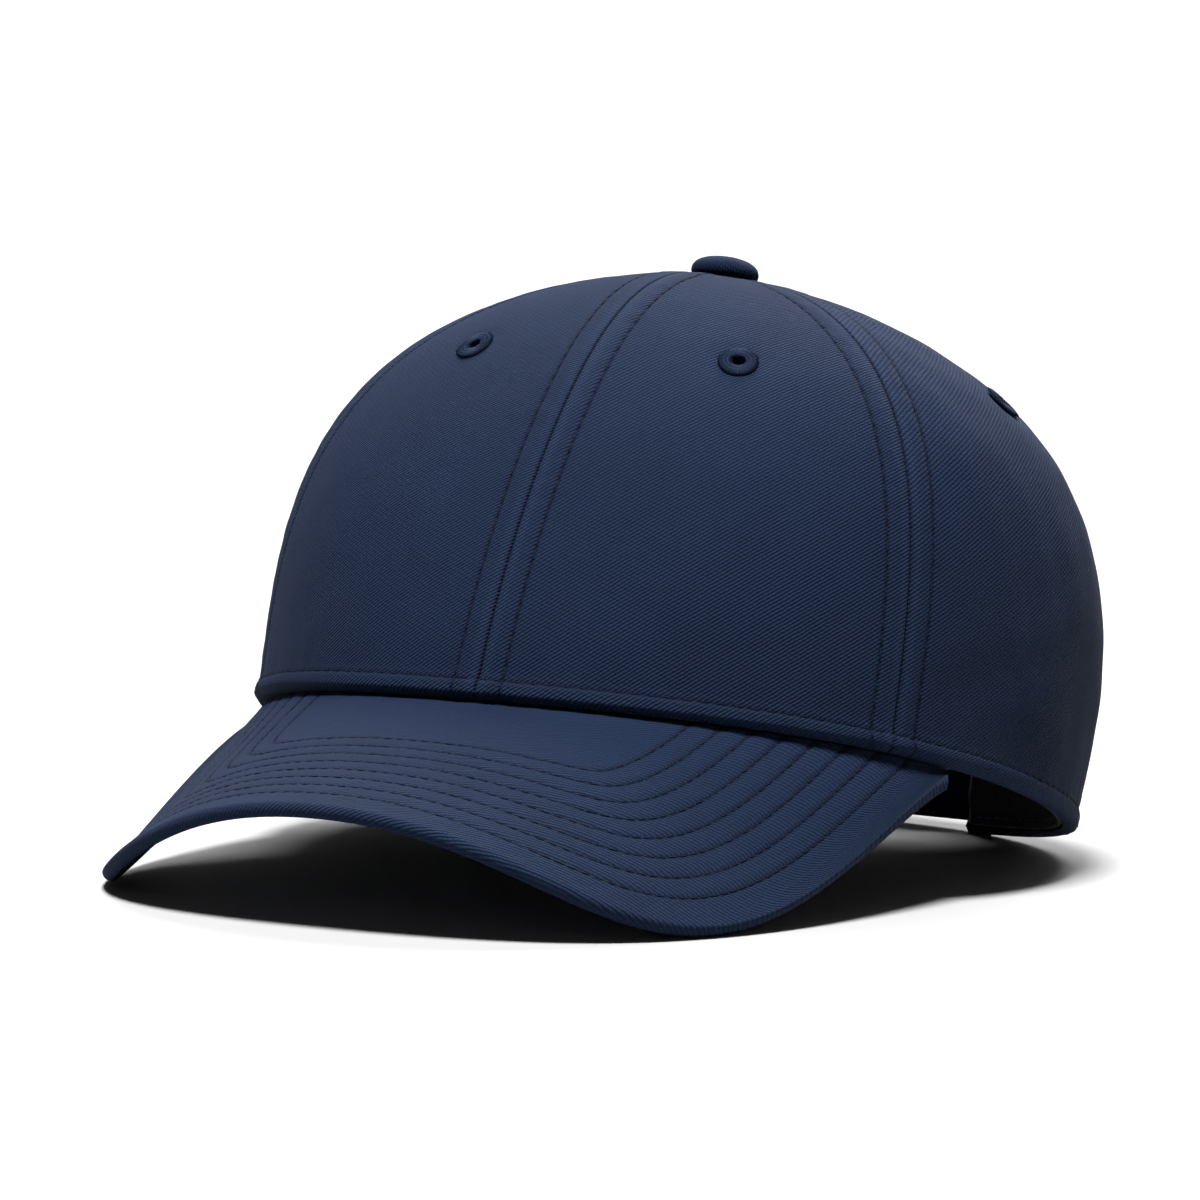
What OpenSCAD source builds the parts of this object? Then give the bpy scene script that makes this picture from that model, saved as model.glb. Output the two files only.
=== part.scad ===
// Six-panel baseball cap with a curved visor and a hook-and-loop back strap.
// It stands on a flat surface on the two lobes of its visor and the back of its rim.
// The cap is drawn level in its own frame and stand() then tips it onto the surface.
// Angles round the head run from the front, 0, over the wearer's left, 90, to the back, 180.

/* [Head opening] */
// Length of the opening ahead of its widest place
rim_front_len = 100; // [86:1:122]
// Length of the opening behind its widest place
rim_back_len = 87; // [76:1:106]
// Half of the opening's width
rim_half_wid = 87.2; // [74:0.2:106]
// How far the front quarters are fuller than the back quarters
rim_egg = 3.6; // [0:0.2:8]
// How far the rim dips at the sides
rim_dip = 1.6; // [0:0.1:5]
// How far the rim rises at the front quarters and dips at the back quarters
rim_wave = 2.2; // [0:0.1:4]

/* [Crown] */
// Height of the crown's top above the rim
crown_h = 104.6; // [86:0.2:126]
// How far the crown's top lies ahead of the middle of the opening
apex_forward = 10.8; // [4:0.2:20]
// Angle of the seam between the front and side panels
seam_front_side = 54.8; // [48:0.2:62]
// Angle of the seam between the side and back panels
seam_side_back = 120; // [110:1:130]
// Radius of the small hole where the six panels meet under the button
apex_hole_r = 2.6; // [2:0.1:4]

/* [Cloth] */
// Thickness of the twill panels
panel_t = 1; // [0.7:0.1:1.6]
// Thickness of the stiff backing behind the front panels
buckram_t = 0.6; // [0.4:0.1:1]
// Thickness of the tapes that cover the seams inside
tape_t = 0.5; // [0.3:0.1:0.8]
// Width of the tapes that cover the seams inside
tape_wid = 14; // [10:1:18]
// Thickness of the foam at the forehead
foam_t = 1.4; // [1:0.1:2.5]
// Thickness of the sweatband
band_t = 1.1; // [0.8:0.1:2]
// Height of the sweatband
band_h = 30; // [24:1:36]
// Gap between two panels at a seam
seam_gap = 0.3; // [0.2:0.05:0.5]
// Gap between one layer of cloth and the next
layer_gap = 0.2; // [0.1:0.05:0.3]

/* [Eyelets] */
// Radius of the hole through an eyelet
eyelet_hole_r = 1.4; // [1:0.1:2]
// Radius of the sewn ring round the hole
eyelet_r = 4.4; // [3.6:0.1:5.5]
// Thickness of the ring's rim on the panel
eyelet_rim_t = 0.6; // [0.4:0.1:1]
// Angle of each front eyelet from the front seam
eyelet_front_a = 29.4; // [20:0.2:36]
// Angle of each side eyelet
eyelet_side_a = 87; // [78:0.5:96]
// Angle of each back eyelet
eyelet_back_a = 150; // [140:1:156]
// Height of the front eyelets above the rim
eyelet_front_h = 78.6; // [60:0.2:82]
// Height of the side eyelets above the rim
eyelet_side_h = 84; // [60:0.5:86]
// Height of the back eyelets above the rim
eyelet_back_h = 68; // [62:0.5:76]

/* [Button] */
// Radius of the covered button
button_r = 7.3; // [6:0.1:9]
// Height of the covered button
button_h = 5; // [3.5:0.1:7]
// Thickness of the cloth on the button
button_cloth_t = 0.6; // [0.4:0.1:1]
// Radius of the rivet through the crown
rivet_r = 1.6; // [1:0.1:1.8]
// Radius of the washer inside the crown
washer_r = 5.5; // [4:0.1:7]
// Thickness of the washer inside the crown
washer_t = 0.8; // [0.5:0.1:1.5]

/* [Visor] */
// Length of the visor ahead of the rim, seen from above
visor_len = 63.8; // [50:0.2:78]
// Angle round the head at which the visor ends
visor_end_a = 66; // [62:0.2:76]
// Half of the flat stretch across the visor's front edge
visor_front_reach = 62; // [50:0.5:75]
// Reach of the visor's straight sides from the rim
visor_side_reach = 78.8; // [62:0.2:90]
// How far the middle of the front edge drops below the rim
visor_drop = 31; // [20:0.5:42]
// How much further the lobes drop
visor_curl = 151; // [110:1:170]
// How much of that further drop is lost towards the ends
visor_flare = 132; // [100:1:145]
// How far the visor sags between its root and its edge at the lobes
visor_sag = 5; // [0:0.5:8]
// Thickness of the visor's upper cloth
cover_top_t = 0.7; // [0.5:0.1:1]
// Thickness of the visor's board
board_t = 1.6; // [1.2:0.1:2.4]
// Thickness of the visor's lower cloth
cover_low_t = 0.6; // [0.4:0.1:1]
// Width of the upper cloth that rolls over the board's edge
edge_roll = 1.6; // [1.2:0.1:2.5]
// How far the visor's root runs in under the hem
root_tuck = 1.8; // [1:0.1:3]
// Gap between the hem and the visor below it
hem_gap = 0.4; // [0.3:0.1:1]

/* [Back opening] */
// Half of the back arch's angle round the head
arch_half_a = 26; // [20:0.5:30]
// Height of the back arch above the rim
arch_h = 46; // [36:1:54]
// Width of the tape that binds the arch
binding_wid = 3.2; // [2.4:0.1:4.5]
// How far the binding stands proud of the panels
binding_proud = 0.5; // [0.2:0.1:1]

/* [Strap] */
// Width of the two straps
strap_wid = 20; // [14:1:26]
// Thickness of each strap
strap_t = 0.9; // [0.6:0.1:1.2]
// Height of the straps' lower edge above the rim
strap_low = 3.2; // [2.6:0.1:8]
// Angle that each strap's tip runs past the back seam
strap_over_a = 16; // [10:1:20]
// Thickness of the hook tape and of the loop tape
patch_t = 0.6; // [0.4:0.1:1]
// Width of the border of strap left round its tape
patch_border = 2.2; // [1.5:0.1:4]
// Gap between the closed hooks and loops
strap_gap = 0.4; // [0.3:0.05:0.6]
// Gap between a strap's root and the binding
root_gap = 2.8; // [2.4:0.1:3.4]

/* [Hidden] */

NAVY = [0.13, 0.19, 0.30];
BLACK = [0.05, 0.05, 0.06];
CHARCOAL = [0.12, 0.12, 0.13];
GREY = [0.75, 0.75, 0.72];
STEEL = [0.7, 0.72, 0.75];

// Depths below the crown's outer face at which each inner layer starts
buckram_d = panel_t + layer_gap;
tape_front_d = buckram_d + buckram_t + layer_gap;
tape_back_d = panel_t + layer_gap;
foam_d = tape_front_d + tape_t + layer_gap;
band_d = foam_d + foam_t + layer_gap;
// Depths of the visor's layers below its upper face
board_d = cover_top_t + layer_gap;
cover_low_d = board_d + board_t + layer_gap;
visor_t = cover_low_d + cover_low_t;
// The visor stops just short of its end, where its inner and outer edges meet
visor_u = 0.985;
// Depths of the straps' layers below the crown's outer face
loop_strap_d = panel_t + layer_gap;
loop_tape_d = loop_strap_d - layer_gap / 2 - patch_t;
hook_tape_d = loop_tape_d - strap_gap - patch_t;
hook_strap_d = hook_tape_d - layer_gap / 2 - strap_t;
// Distances from the apex at which the tapes and the backing stop
tape_end_r = 12;
backing_end_r = 10;
// Height of the tapes' lower ends above the rim
tape_low = 4;
// Wall of an eyelet's neck, the gap round it, and room for the crown's curve under its inner rim
neck_wall = 0.95;
neck_gap = 0.15;
ring_room = 0.4;
// The profile powers for the front, the sides and the back, as [reach, rise, bulge]
FRONT = [0.91, 0.94, -0.08];
SIDE = [1.05, 0.67, 0.1];
BACK = [0.51, 1.69, 0.06];
// Columns and rows of points on a panel, columns from a back panel's side to the arch's foot and
// over half of the arch, and the facets of a full circle
panel_cols = 10;
panel_rows = 20;
foot_cols = 5;
arc_cols = 9;
arc_fn = 48;

// ---- The crown's surface ----

function unit(v) = v / norm(v);
function mix(a, b, t) = a + (b - a) * t;
// A value that is v[0] at the front, v[1] at the sides and v[2] at the back
function around(a, v) = (v[0] + v[2]) / 4 + v[1] / 2 + (v[0] - v[2]) / 2 * cos(a)
    + ((v[0] + v[2]) / 4 - v[1] / 2) * cos(2 * a);
function power(a, i) = around(a, [FRONT[i], SIDE[i], BACK[i]]);

function rim_z(a) = -rim_dip * (1 - cos(2 * a)) / 2 + rim_wave * (cos(a) - cos(3 * a)) / 2;
function rim_len(a) = mix(rim_back_len, rim_front_len, (1 + cos(a)) / 2);
function rim(a) = [rim_half_wid * sin(a) + rim_egg * sin(2 * a), -rim_len(a) * cos(a), rim_z(a)];
// Share of the rim's radius that is left at elevation f, from 0 at the rim to 90 at the top
function reach(a, f) = pow(cos(f), power(a, 0)) + power(a, 2) * sin(2 * f) * cos(f);
function crown(a, f) = let (r = rim(a), k = reach(a, f))
    [k * r.x, -apex_forward + k * (r.y + apex_forward),
     r.z + (crown_h - r.z) * pow(sin(f), power(a, 1))];
function crown_normal(a, f) = let (step = 0.5)
    unit(cross(crown(a + step, f) - crown(a - step, f),
               crown(a, min(f + step, 89.95)) - crown(a, max(f - step, 0))));
// A point at depth d below the crown's outer face
function skin(a, f, d) = crown(a, f) - d * crown_normal(a, f);
// Elevation at which the crown stands h above its rim
function elev(a, h) = asin(pow(max(0, min(1, h / (crown_h - rim_z(a)))), 1 / power(a, 1)));
// Distance of the crown from the axis through its top
function radius(a, f) = norm([crown(a, f).x, crown(a, f).y + apex_forward]);
// Elevation at which the crown's radius has shrunk to r, found by halving
function elev_at_radius(a, r, lo = 45, hi = 90, n = 22) = n == 0 ? (lo + hi) / 2
    : radius(a, (lo + hi) / 2) > r ? elev_at_radius(a, r, (lo + hi) / 2, hi, n - 1)
    : elev_at_radius(a, r, lo, (lo + hi) / 2, n - 1);
// Angle that a width w covers at radius r
function arc_angle(w, r) = 2 * asin(min(1, w / 2 / r));

// ---- The visor's surface ----

function bezier(t, p) = pow(1 - t, 3) * p[0] + 3 * t * pow(1 - t, 2) * p[1]
    + 3 * t * t * (1 - t) * p[2] + pow(t, 3) * p[3];
visor_end = rim(visor_end_a);
visor_tip_y = -rim_front_len - visor_len;
function visor_edge(u) = let (t = abs(u), s = sign(u), q = u * u)
    [s * bezier(t, [0, visor_front_reach, visor_end.x, visor_end.x]),
     bezier(t, [visor_tip_y, visor_tip_y, visor_end.y - visor_side_reach, visor_end.y]),
     visor_end.z * q - (1 - q) * (visor_drop + visor_curl * q - visor_flare * q * q)];
function visor_root(u) = let (a = visor_end_a * sign(u) * pow(abs(u), 0.75))
    skin(a, 0, root_tuck) - [0, 0, hem_gap];
function visor_span(u) = norm(visor_edge(u) - visor_root(u));
function visor(u, s) = mix(visor_root(u), visor_edge(u) - [0, 0, hem_gap], s)
    - [0, 0, visor_sag * u * u * (1 - u * u) * 4 * s * (1 - s)];
function visor_normal(u, s) = let (step = 0.01)
    unit(cross(visor(min(u + step, 1), s) - visor(max(u - step, -1), s),
               visor(u, 0) - visor(u, 1)));
function visor_layer(u, s, d) = visor(u, s) - d * visor_normal(u, s);

// ---- How the cap stands ----

// Points that can touch the surface: the hem at the back and the visor's lower edge
foot_points = concat(
    [for (a = [100:4:180 - arch_half_a]) skin(a, 0, 0)],
    [for (a = [100:4:180 - arch_half_a]) skin(a, 0, band_d + band_t)],
    [skin(180 - arch_half_a, 0, 0), skin(180 - arch_half_a, 0, band_d + band_t)]);
lobe_points = [for (u = [0:0.02:0.9]) visor_layer(u, 1, visor_t)];
function tipped_z(p, t) = p.z * cos(t) - p.y * sin(t);
function tipped_y(p, t) = p.y * cos(t) + p.z * sin(t);
function lowest(points, t) = min([for (p = points) tipped_z(p, t)]);
// The tip at which the back of the rim and the lobes are at one height, found by halving
function find_tip(lo = 0, hi = 30, n = 30) = let (t = (lo + hi) / 2)
    n == 0 ? t : lowest(foot_points, t) > lowest(lobe_points, t) ? find_tip(t, hi, n - 1)
    : find_tip(lo, t, n - 1);
tip = find_tip();
lift = -lowest(concat(foot_points, lobe_points), tip);
front_y = min([for (u = [0:0.05:0.9]) tipped_y(visor(u, 1), tip)]);
back_y = max([for (a = [180 - arch_half_a:2:180], h = [strap_low:4:arch_h + 40])
    tipped_y(skin(a, elev(a, h), h < arch_h ? hook_strap_d : 0), tip)]);

module stand() {
    translate([0, -(front_y + back_y) / 2, lift]) rotate([-tip, 0, 0]) children();
}

// ---- Solids from two matching grids of points ----

// One closed solid between an outer grid and an inner grid, each rows x cols points.
// Columns run to the right and rows run up, seen from outside.
module sheet_solid(outer, inner) {
    rows = len(outer);
    cols = len(outer[0]);
    side = rows * cols;
    points = concat([for (row = outer) each row], [for (row = inner) each row]);
    face = [for (j = [0:rows - 2], i = [0:cols - 2]) let (p = j * cols + i)
        each [[p, p + cols, p + cols + 1], [p, p + cols + 1, p + 1],
              [side + p, side + p + 1, side + p + cols + 1],
              [side + p, side + p + cols + 1, side + p + cols]]];
    bottom = [for (i = [0:cols - 2])
        each [[i, i + 1, side + i + 1], [i, side + i + 1, side + i]]];
    top_row = (rows - 1) * cols;
    top = [for (i = [top_row:top_row + cols - 2])
        each [[i + 1, i, side + i], [i + 1, side + i, side + i + 1]]];
    left = [for (j = [0:rows - 2]) let (p = j * cols)
        each [[p + cols, p, side + p], [p + cols, side + p, side + p + cols]]];
    right = [for (j = [0:rows - 2]) let (p = j * cols + cols - 1)
        each [[p, p + cols, side + p + cols], [p, side + p + cols, side + p]]];
    polyhedron(points, concat(face, bottom, top, left, right), convexity = 6);
}

// A piece of the crown between depths d0 and d1. The grid's places are [angle, elevation].
module crown_piece(grid, d0, d1) {
    sheet_solid([for (row = grid) [for (p = row) skin(p[0], p[1], d0)]],
                [for (row = grid) [for (p = row) skin(p[0], p[1], d1)]]);
}

// Height of the back arch at an angle, and 0 outside it
function arch_top(a) = let (k = abs(180 - a) / arch_half_a) k >= 1 ? 0 : arch_h * sqrt(1 - k * k);

// Steps from 0 to 1 that are shorter near both ends
function eased(t) = (1 - cos(180 * t)) / 2;
// Elevation of row j at an angle. Every layer of the crown has its points on these rows.
function row_elev(a, j) = mix(elev(a, arch_top(a)), elev_at_radius(a, apex_hole_r),
    eased(j / panel_rows));

// Angles of a panel's columns, and those of a back panel, which follow the arch's edge
function panel_angles(a0, a1) = [for (i = [0:panel_cols]) mix(a0, a1, eased(i / panel_cols))];
function back_angles() = let (foot = 180 - arch_half_a) concat(
    [for (i = [0:foot_cols - 1]) mix(seam_side_back, foot, i / foot_cols)],
    [for (i = [0:arc_cols]) 180 - arch_half_a * cos(90 * i / arc_cols)]);

// Grid over a panel from one seam to the next, up to end_r from the apex
function panel_grid(angles, end_r) = let (a0 = angles[0], a1 = angles[len(angles) - 1])
    [for (j = [0:panel_rows]) if (radius(a0, row_elev(a0, j)) > end_r - 0.01)
        [for (a = angles) let (
            f = row_elev(a, j),
            trim = arc_angle(seam_gap, radius(a, f)) / 2)
            [mix(a0 + trim, a1 - trim, (a - a0) / (a1 - a0)), f]]];

// ---- Sub-parts ----

module eyelet_place(a, h) {
    p = skin(a, elev(a, h), 0);
    n = crown_normal(a, elev(a, h));
    translate(p) rotate([0, acos(n.z), atan2(n.y, n.x)]) children();
}

module eyelet_bore(a, h) {
    bore_r = eyelet_hole_r + neck_wall + neck_gap;
    eyelet_place(a, h) translate([0, 0, -foam_d - 3])
        cylinder(r = bore_r, h = foam_d + 6, $fn = arc_fn);
}

// A sewn ring: a neck through the panel with a rim on each face
module eyelet(a, h, under) {
    neck_r = eyelet_hole_r + neck_wall;
    inner_r = eyelet_r * 0.8;
    low = -under - layer_gap - ring_room;
    color(NAVY) stand() eyelet_place(a, h) rotate_extrude($fn = arc_fn) polygon([
        [eyelet_hole_r, low - eyelet_rim_t],
        [inner_r, low - eyelet_rim_t],
        [inner_r, low],
        [neck_r, low],
        [neck_r, layer_gap],
        [eyelet_r, layer_gap],
        [eyelet_r, layer_gap + eyelet_rim_t / 2],
        [eyelet_r - eyelet_rim_t / 2, layer_gap + eyelet_rim_t],
        [eyelet_hole_r + eyelet_rim_t / 2, layer_gap + eyelet_rim_t],
        [eyelet_hole_r, layer_gap + eyelet_rim_t / 2]]);
}

module front_panel() {
    color(NAVY) stand() difference() {
        crown_piece(panel_grid(panel_angles(0, seam_front_side), apex_hole_r), 0, panel_t);
        eyelet_bore(eyelet_front_a, eyelet_front_h);
    }
}

module side_panel() {
    color(NAVY) stand() difference() {
        crown_piece(panel_grid(panel_angles(seam_front_side, seam_side_back), apex_hole_r),
            0, panel_t);
        eyelet_bore(eyelet_side_a, eyelet_side_h);
    }
}

module back_panel() {
    color(NAVY) stand() difference() {
        crown_piece(panel_grid(back_angles(), apex_hole_r), 0, panel_t);
        eyelet_bore(eyelet_back_a, eyelet_back_h);
    }
}

// Stiff open-weave backing glued and sewn behind a front panel
module front_buckram() {
    color(CHARCOAL) stand() difference() {
        crown_piece(panel_grid(panel_angles(0, seam_front_side), backing_end_r),
            buckram_d, buckram_d + buckram_t);
        eyelet_bore(eyelet_front_a, eyelet_front_h);
    }
}

// Tape over a seam, narrowed towards the apex
module seam_tape(a, d, from_h) {
    rows = [for (j = [0:panel_rows]) let (f = row_elev(a, j))
        if (radius(a, f) > tape_end_r && crown(a, f).z - rim_z(a) > from_h) j];
    color(BLACK) stand() crown_piece(
        [for (j = rows) let (half = min(arc_angle(tape_wid, radius(a, row_elev(a, j))) / 2, 24))
            [for (i = [-1:0.5:1]) [a + i * half, row_elev(a + i * half, j)]]],
        d, d + tape_t);
}

// Columns and heights of the sweatband. The foam behind it keeps to the same ones.
band_cols = 44;
band_end_a = 180 - arch_half_a - 1;
band_angles = [for (i = [0:band_cols]) mix(-band_end_a, band_end_a, i / band_cols)];
foam_low = 5;
foam_high = band_h - 4;
foam_heights = [foam_low, (foam_low + foam_high) / 2, foam_high];

module sweatband() {
    color(BLACK) stand() crown_piece(
        [for (h = concat([0], foam_heights, [band_h])) [for (a = band_angles) [a, elev(a, h)]]],
        band_d, band_d + band_t);
}

// Thin foam behind the sweatband at the forehead
module forehead_foam() {
    angles = [for (a = band_angles) if (abs(a) < visor_end_a - 4) a];
    color(GREY) stand() crown_piece([for (h = foam_heights) [for (a = angles) [a, elev(a, h)]]],
        foam_d, foam_d + foam_t);
}

// ---- Visor ----

visor_cols = 32;
visor_us = [for (i = [0:visor_cols]) mix(-visor_u, visor_u, i / visor_cols)];
visor_spans = [for (u = visor_us) visor_span(u)];
visor_steps = 5;

// Rows run from the visor's edge, s = 1, up to its root, s = 0
module visor_piece(d0, d1, inset) {
    grid = [for (j = [0:visor_steps]) [for (i = [0:visor_cols])
        [visor_us[i], (1 - inset / visor_spans[i]) * (1 - j / visor_steps)]]];
    sheet_solid([for (row = grid) [for (p = row) visor_layer(p[0], p[1], d0)]],
                [for (row = grid) [for (p = row) visor_layer(p[0], p[1], d1)]]);
}

// The upper cloth, with a lip that rolls down over the board's edge
module visor_top_cover() {
    lip = [for (span = visor_spans) 1 - edge_roll / span];
    step = [for (span = visor_spans) 0.3 / span];
    function rows(i) = concat([1, lip[i], lip[i] - step[i]],
        [for (j = [1:visor_steps]) (lip[i] - step[i]) * (1 - j / visor_steps)]);
    depths = concat([visor_t, visor_t], [for (j = [0:visor_steps]) cover_top_t]);
    color(NAVY) stand() sheet_solid(
        [for (j = [0:visor_steps + 2]) [for (i = [0:visor_cols])
            visor_layer(visor_us[i], rows(i)[j], 0)]],
        [for (j = [0:visor_steps + 2]) [for (i = [0:visor_cols])
            visor_layer(visor_us[i], rows(i)[j], depths[j])]]);
}

module visor_board() {
    color(CHARCOAL) stand() visor_piece(board_d, board_d + board_t, edge_roll + 0.5);
}

module visor_under_cover() {
    color(NAVY) stand() visor_piece(cover_low_d, cover_low_d + cover_low_t, edge_roll + 0.5);
}

// ---- Button ----

shell_r = button_r - button_cloth_t - 0.1;
shell_h = button_h - button_cloth_t - 0.1;
button_base = layer_gap;
socket_r = rivet_r + 0.05;
shell_floor = 1.2;

module apex_place() {
    translate([0, -apex_forward, crown_h]) children();
}

// Half outline of a low dome with a rolled foot
function dome(r, h, base) = concat([[0, base]],
    [[r - 0.8, base]],
    [for (t = [-60:15:90]) t < 0 ? [r - 0.8 + 0.8 * cos(t), base + 0.8 + 0.8 * sin(t)]
        : [r * cos(t), base + 0.8 + (h - 0.8) * sin(t)]]);

module button_cover() {
    color(NAVY) stand() apex_place() rotate_extrude($fn = arc_fn) difference() {
        polygon(dome(button_r, button_h, button_base));
        polygon(dome(shell_r + 0.1, shell_h + 0.1, button_base));
    }
}

module button_shell() {
    color(STEEL) stand() apex_place() difference() {
        rotate_extrude($fn = arc_fn) polygon(dome(shell_r, shell_h, button_base));
        translate([0, 0, button_base - 1])
            cylinder(r = socket_r, h = 1 + shell_floor, $fn = arc_fn);
    }
}

// The rivet's head lies inside the washer's face and its stem ends in the shell
module button_rivet() {
    head_t = 0.6;
    low = -panel_t - layer_gap - washer_t - layer_gap / 2;
    color(STEEL) stand() apex_place() {
        translate([0, 0, low])
            cylinder(r = rivet_r, h = button_base + shell_floor - 0.1 - low, $fn = arc_fn);
        translate([0, 0, low - head_t]) cylinder(r = rivet_r + 1.2, h = head_t, $fn = arc_fn);
    }
}

module button_washer() {
    color(STEEL) stand() apex_place() translate([0, 0, -panel_t - layer_gap - washer_t])
        difference() {
            cylinder(r = washer_r, h = washer_t, $fn = arc_fn);
            translate([0, 0, -1]) cylinder(r = socket_r, h = washer_t + 2, $fn = arc_fn);
        }
}

// ---- Back opening ----

// Point of the arch's edge at t, from 0 at one foot over 90 at the top to 180
function arch_place(t) = let (a = 180 - arch_half_a * cos(t))
    [a, elev(a, arch_h * sin(t))];
function arch_edge(t, d) = let (p = arch_place(t)) skin(p[0], p[1], d);
// Direction in the crown's face from the arch's edge towards its opening
function arch_inward(t) = let (p = arch_place(t), step = 1)
    unit(cross(arch_edge(min(t + step, 180), 0) - arch_edge(max(t - step, 0), 0),
        crown_normal(p[0], p[1])));

// Tape folded round the arch's raw edge, a flat band just inside the opening
module back_arch_binding() {
    ts = [for (i = [0:2 * arc_cols]) 90 * i / arc_cols];
    inner_d = band_d - layer_gap;
    function band_point(t, w, d) = arch_edge(t, d) + w * arch_inward(t);
    color(NAVY) stand() sheet_solid(
        [for (w = [binding_wid, layer_gap]) [for (t = ts) band_point(t, w, -binding_proud)]],
        [for (w = [binding_wid, layer_gap]) [for (t = ts) band_point(t, w, inner_d)]]);
}

// ---- Straps ----

strap_high = strap_low + strap_wid;
// Length of rim in one degree round the head
function rim_step(a) = norm(rim(a + 0.5) - rim(a - 0.5));
strap_step = rim_step(180);
arch_half_wid = arch_half_a * rim_step(180 - arch_half_a / 2);
// Angle from the back seam at which a strap starts at height h, just inside the binding
function root_a(h) = let (
    x = arch_half_wid * sqrt(1 - pow(h / arch_h, 2)),
    slope = h / x * pow(arch_half_wid / arch_h, 2),
    border = (binding_wid + root_gap) * sqrt(1 + slope * slope))
    (x - border) / arch_half_wid * arch_half_a;
// How much a round corner takes off an edge, left millimetres before the band's end
function corner_trim(left, corner) = left >= corner ? 0
    : corner - sqrt(corner * corner - pow(corner - max(left, 0), 2));

// A band round the back from angle(h) = starts[k] to the angle end, with a rounded far end
module back_band(starts, end, low, high, d, t, corner) {
    cols = 14;
    last = len(starts) - 1;
    steps = [for (i = [0:cols]) end > starts[0] ? sin(90 * i / cols) : 1 - cos(90 * i / cols)];
    grid = [for (k = [0:last]) [for (step = steps) let (
        v = end > starts[0] ? step : 1 - step,
        left = (1 - v) * abs(end - starts[k]) * strap_step,
        trim = corner_trim(left, corner))
        [mix(starts[k], end, v), elev(180, mix(low + trim, high - trim, k / last))]]];
    crown_piece(grid, d, d + t);
}

// side is 1 for a strap sewn at the wearer's right, and -1 at the left
module strap(side, d) {
    levels = 4;
    starts = [for (k = [0:levels]) 180 + side * root_a(mix(strap_low, strap_high, k / levels))];
    color(NAVY) stand() back_band(starts, 180 - side * strap_over_a, strap_low, strap_high,
        d, strap_t, strap_wid / 3);
}

module patch(side, d) {
    inset_a = patch_border / strap_step;
    start = 180 + side * (strap_over_a - inset_a);
    color(BLACK) stand() back_band([for (k = [0:4]) start], 180 - side * (strap_over_a - inset_a),
        strap_low + patch_border, strap_high - patch_border, d, patch_t, strap_wid / 5);
}

module hook_strap() {
    strap(1, hook_strap_d);
}

module hook_tape() {
    patch(1, hook_tape_d);
}

module loop_strap() {
    strap(-1, loop_strap_d);
}

module loop_tape() {
    patch(-1, loop_tape_d);
}

module on_right() {
    mirror([1, 0, 0]) children();
}

front_panel();  // front_panel_left
on_right() front_panel();  // front_panel_right
side_panel();  // side_panel_left
on_right() side_panel();  // side_panel_right
back_panel();  // back_panel_left
on_right() back_panel();  // back_panel_right
front_buckram();  // front_buckram_left
on_right() front_buckram();  // front_buckram_right
seam_tape(0, tape_front_d, tape_low);  // seam_tape_front
seam_tape(seam_front_side, tape_front_d, tape_low);  // seam_tape_front_side_left
on_right() seam_tape(seam_front_side, tape_front_d, tape_low);  // seam_tape_front_side_right
seam_tape(seam_side_back, tape_back_d, tape_low);  // seam_tape_side_back_left
on_right() seam_tape(seam_side_back, tape_back_d, tape_low);  // seam_tape_side_back_right
seam_tape(180, tape_back_d, arch_h + 2);  // seam_tape_back
sweatband();
forehead_foam();
visor_top_cover();
visor_board();
visor_under_cover();
button_cover();
button_shell();
button_rivet();
button_washer();
eyelet(eyelet_front_a, eyelet_front_h, buckram_d + buckram_t);  // eyelet_front_left
on_right() eyelet(eyelet_front_a, eyelet_front_h, buckram_d + buckram_t);  // eyelet_front_right
eyelet(eyelet_side_a, eyelet_side_h, panel_t);  // eyelet_side_left
on_right() eyelet(eyelet_side_a, eyelet_side_h, panel_t);  // eyelet_side_right
eyelet(eyelet_back_a, eyelet_back_h, panel_t);  // eyelet_back_left
on_right() eyelet(eyelet_back_a, eyelet_back_h, panel_t);  // eyelet_back_right
back_arch_binding();
hook_strap();
hook_tape();
loop_strap();
loop_tape();
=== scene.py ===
# A six-panel baseball cap in navy cotton twill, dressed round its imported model.
# Sizes are in millimetres until place() stands the cap up and turns them into metres.
import math

import bmesh
import bpy
import numpy as np
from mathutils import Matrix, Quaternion, Vector


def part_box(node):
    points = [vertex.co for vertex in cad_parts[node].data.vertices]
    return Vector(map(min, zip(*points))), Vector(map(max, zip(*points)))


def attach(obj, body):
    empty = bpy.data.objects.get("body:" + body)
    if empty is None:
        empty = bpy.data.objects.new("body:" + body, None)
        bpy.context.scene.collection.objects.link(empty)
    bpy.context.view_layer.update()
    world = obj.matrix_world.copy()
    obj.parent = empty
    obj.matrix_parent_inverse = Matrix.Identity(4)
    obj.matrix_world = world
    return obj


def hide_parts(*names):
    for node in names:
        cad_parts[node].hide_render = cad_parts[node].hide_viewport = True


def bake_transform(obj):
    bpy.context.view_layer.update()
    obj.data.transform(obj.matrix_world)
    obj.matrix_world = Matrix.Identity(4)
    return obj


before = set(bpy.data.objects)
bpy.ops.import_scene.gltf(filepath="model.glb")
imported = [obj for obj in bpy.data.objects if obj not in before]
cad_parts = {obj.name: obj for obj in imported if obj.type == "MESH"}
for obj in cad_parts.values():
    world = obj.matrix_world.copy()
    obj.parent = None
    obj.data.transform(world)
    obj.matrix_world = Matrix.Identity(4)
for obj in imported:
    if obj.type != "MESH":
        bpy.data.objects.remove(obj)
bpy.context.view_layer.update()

# ---- Crown panels ----
# Six gores of brushed cotton twill are sewn edge to edge and pressed open. Each seam is topstitched
# on both sides, and the lower edge is turned up as a hem round the head.
# A pair of panels makes the front, the sides and the back, and the back pair leaves an arch open.

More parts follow.
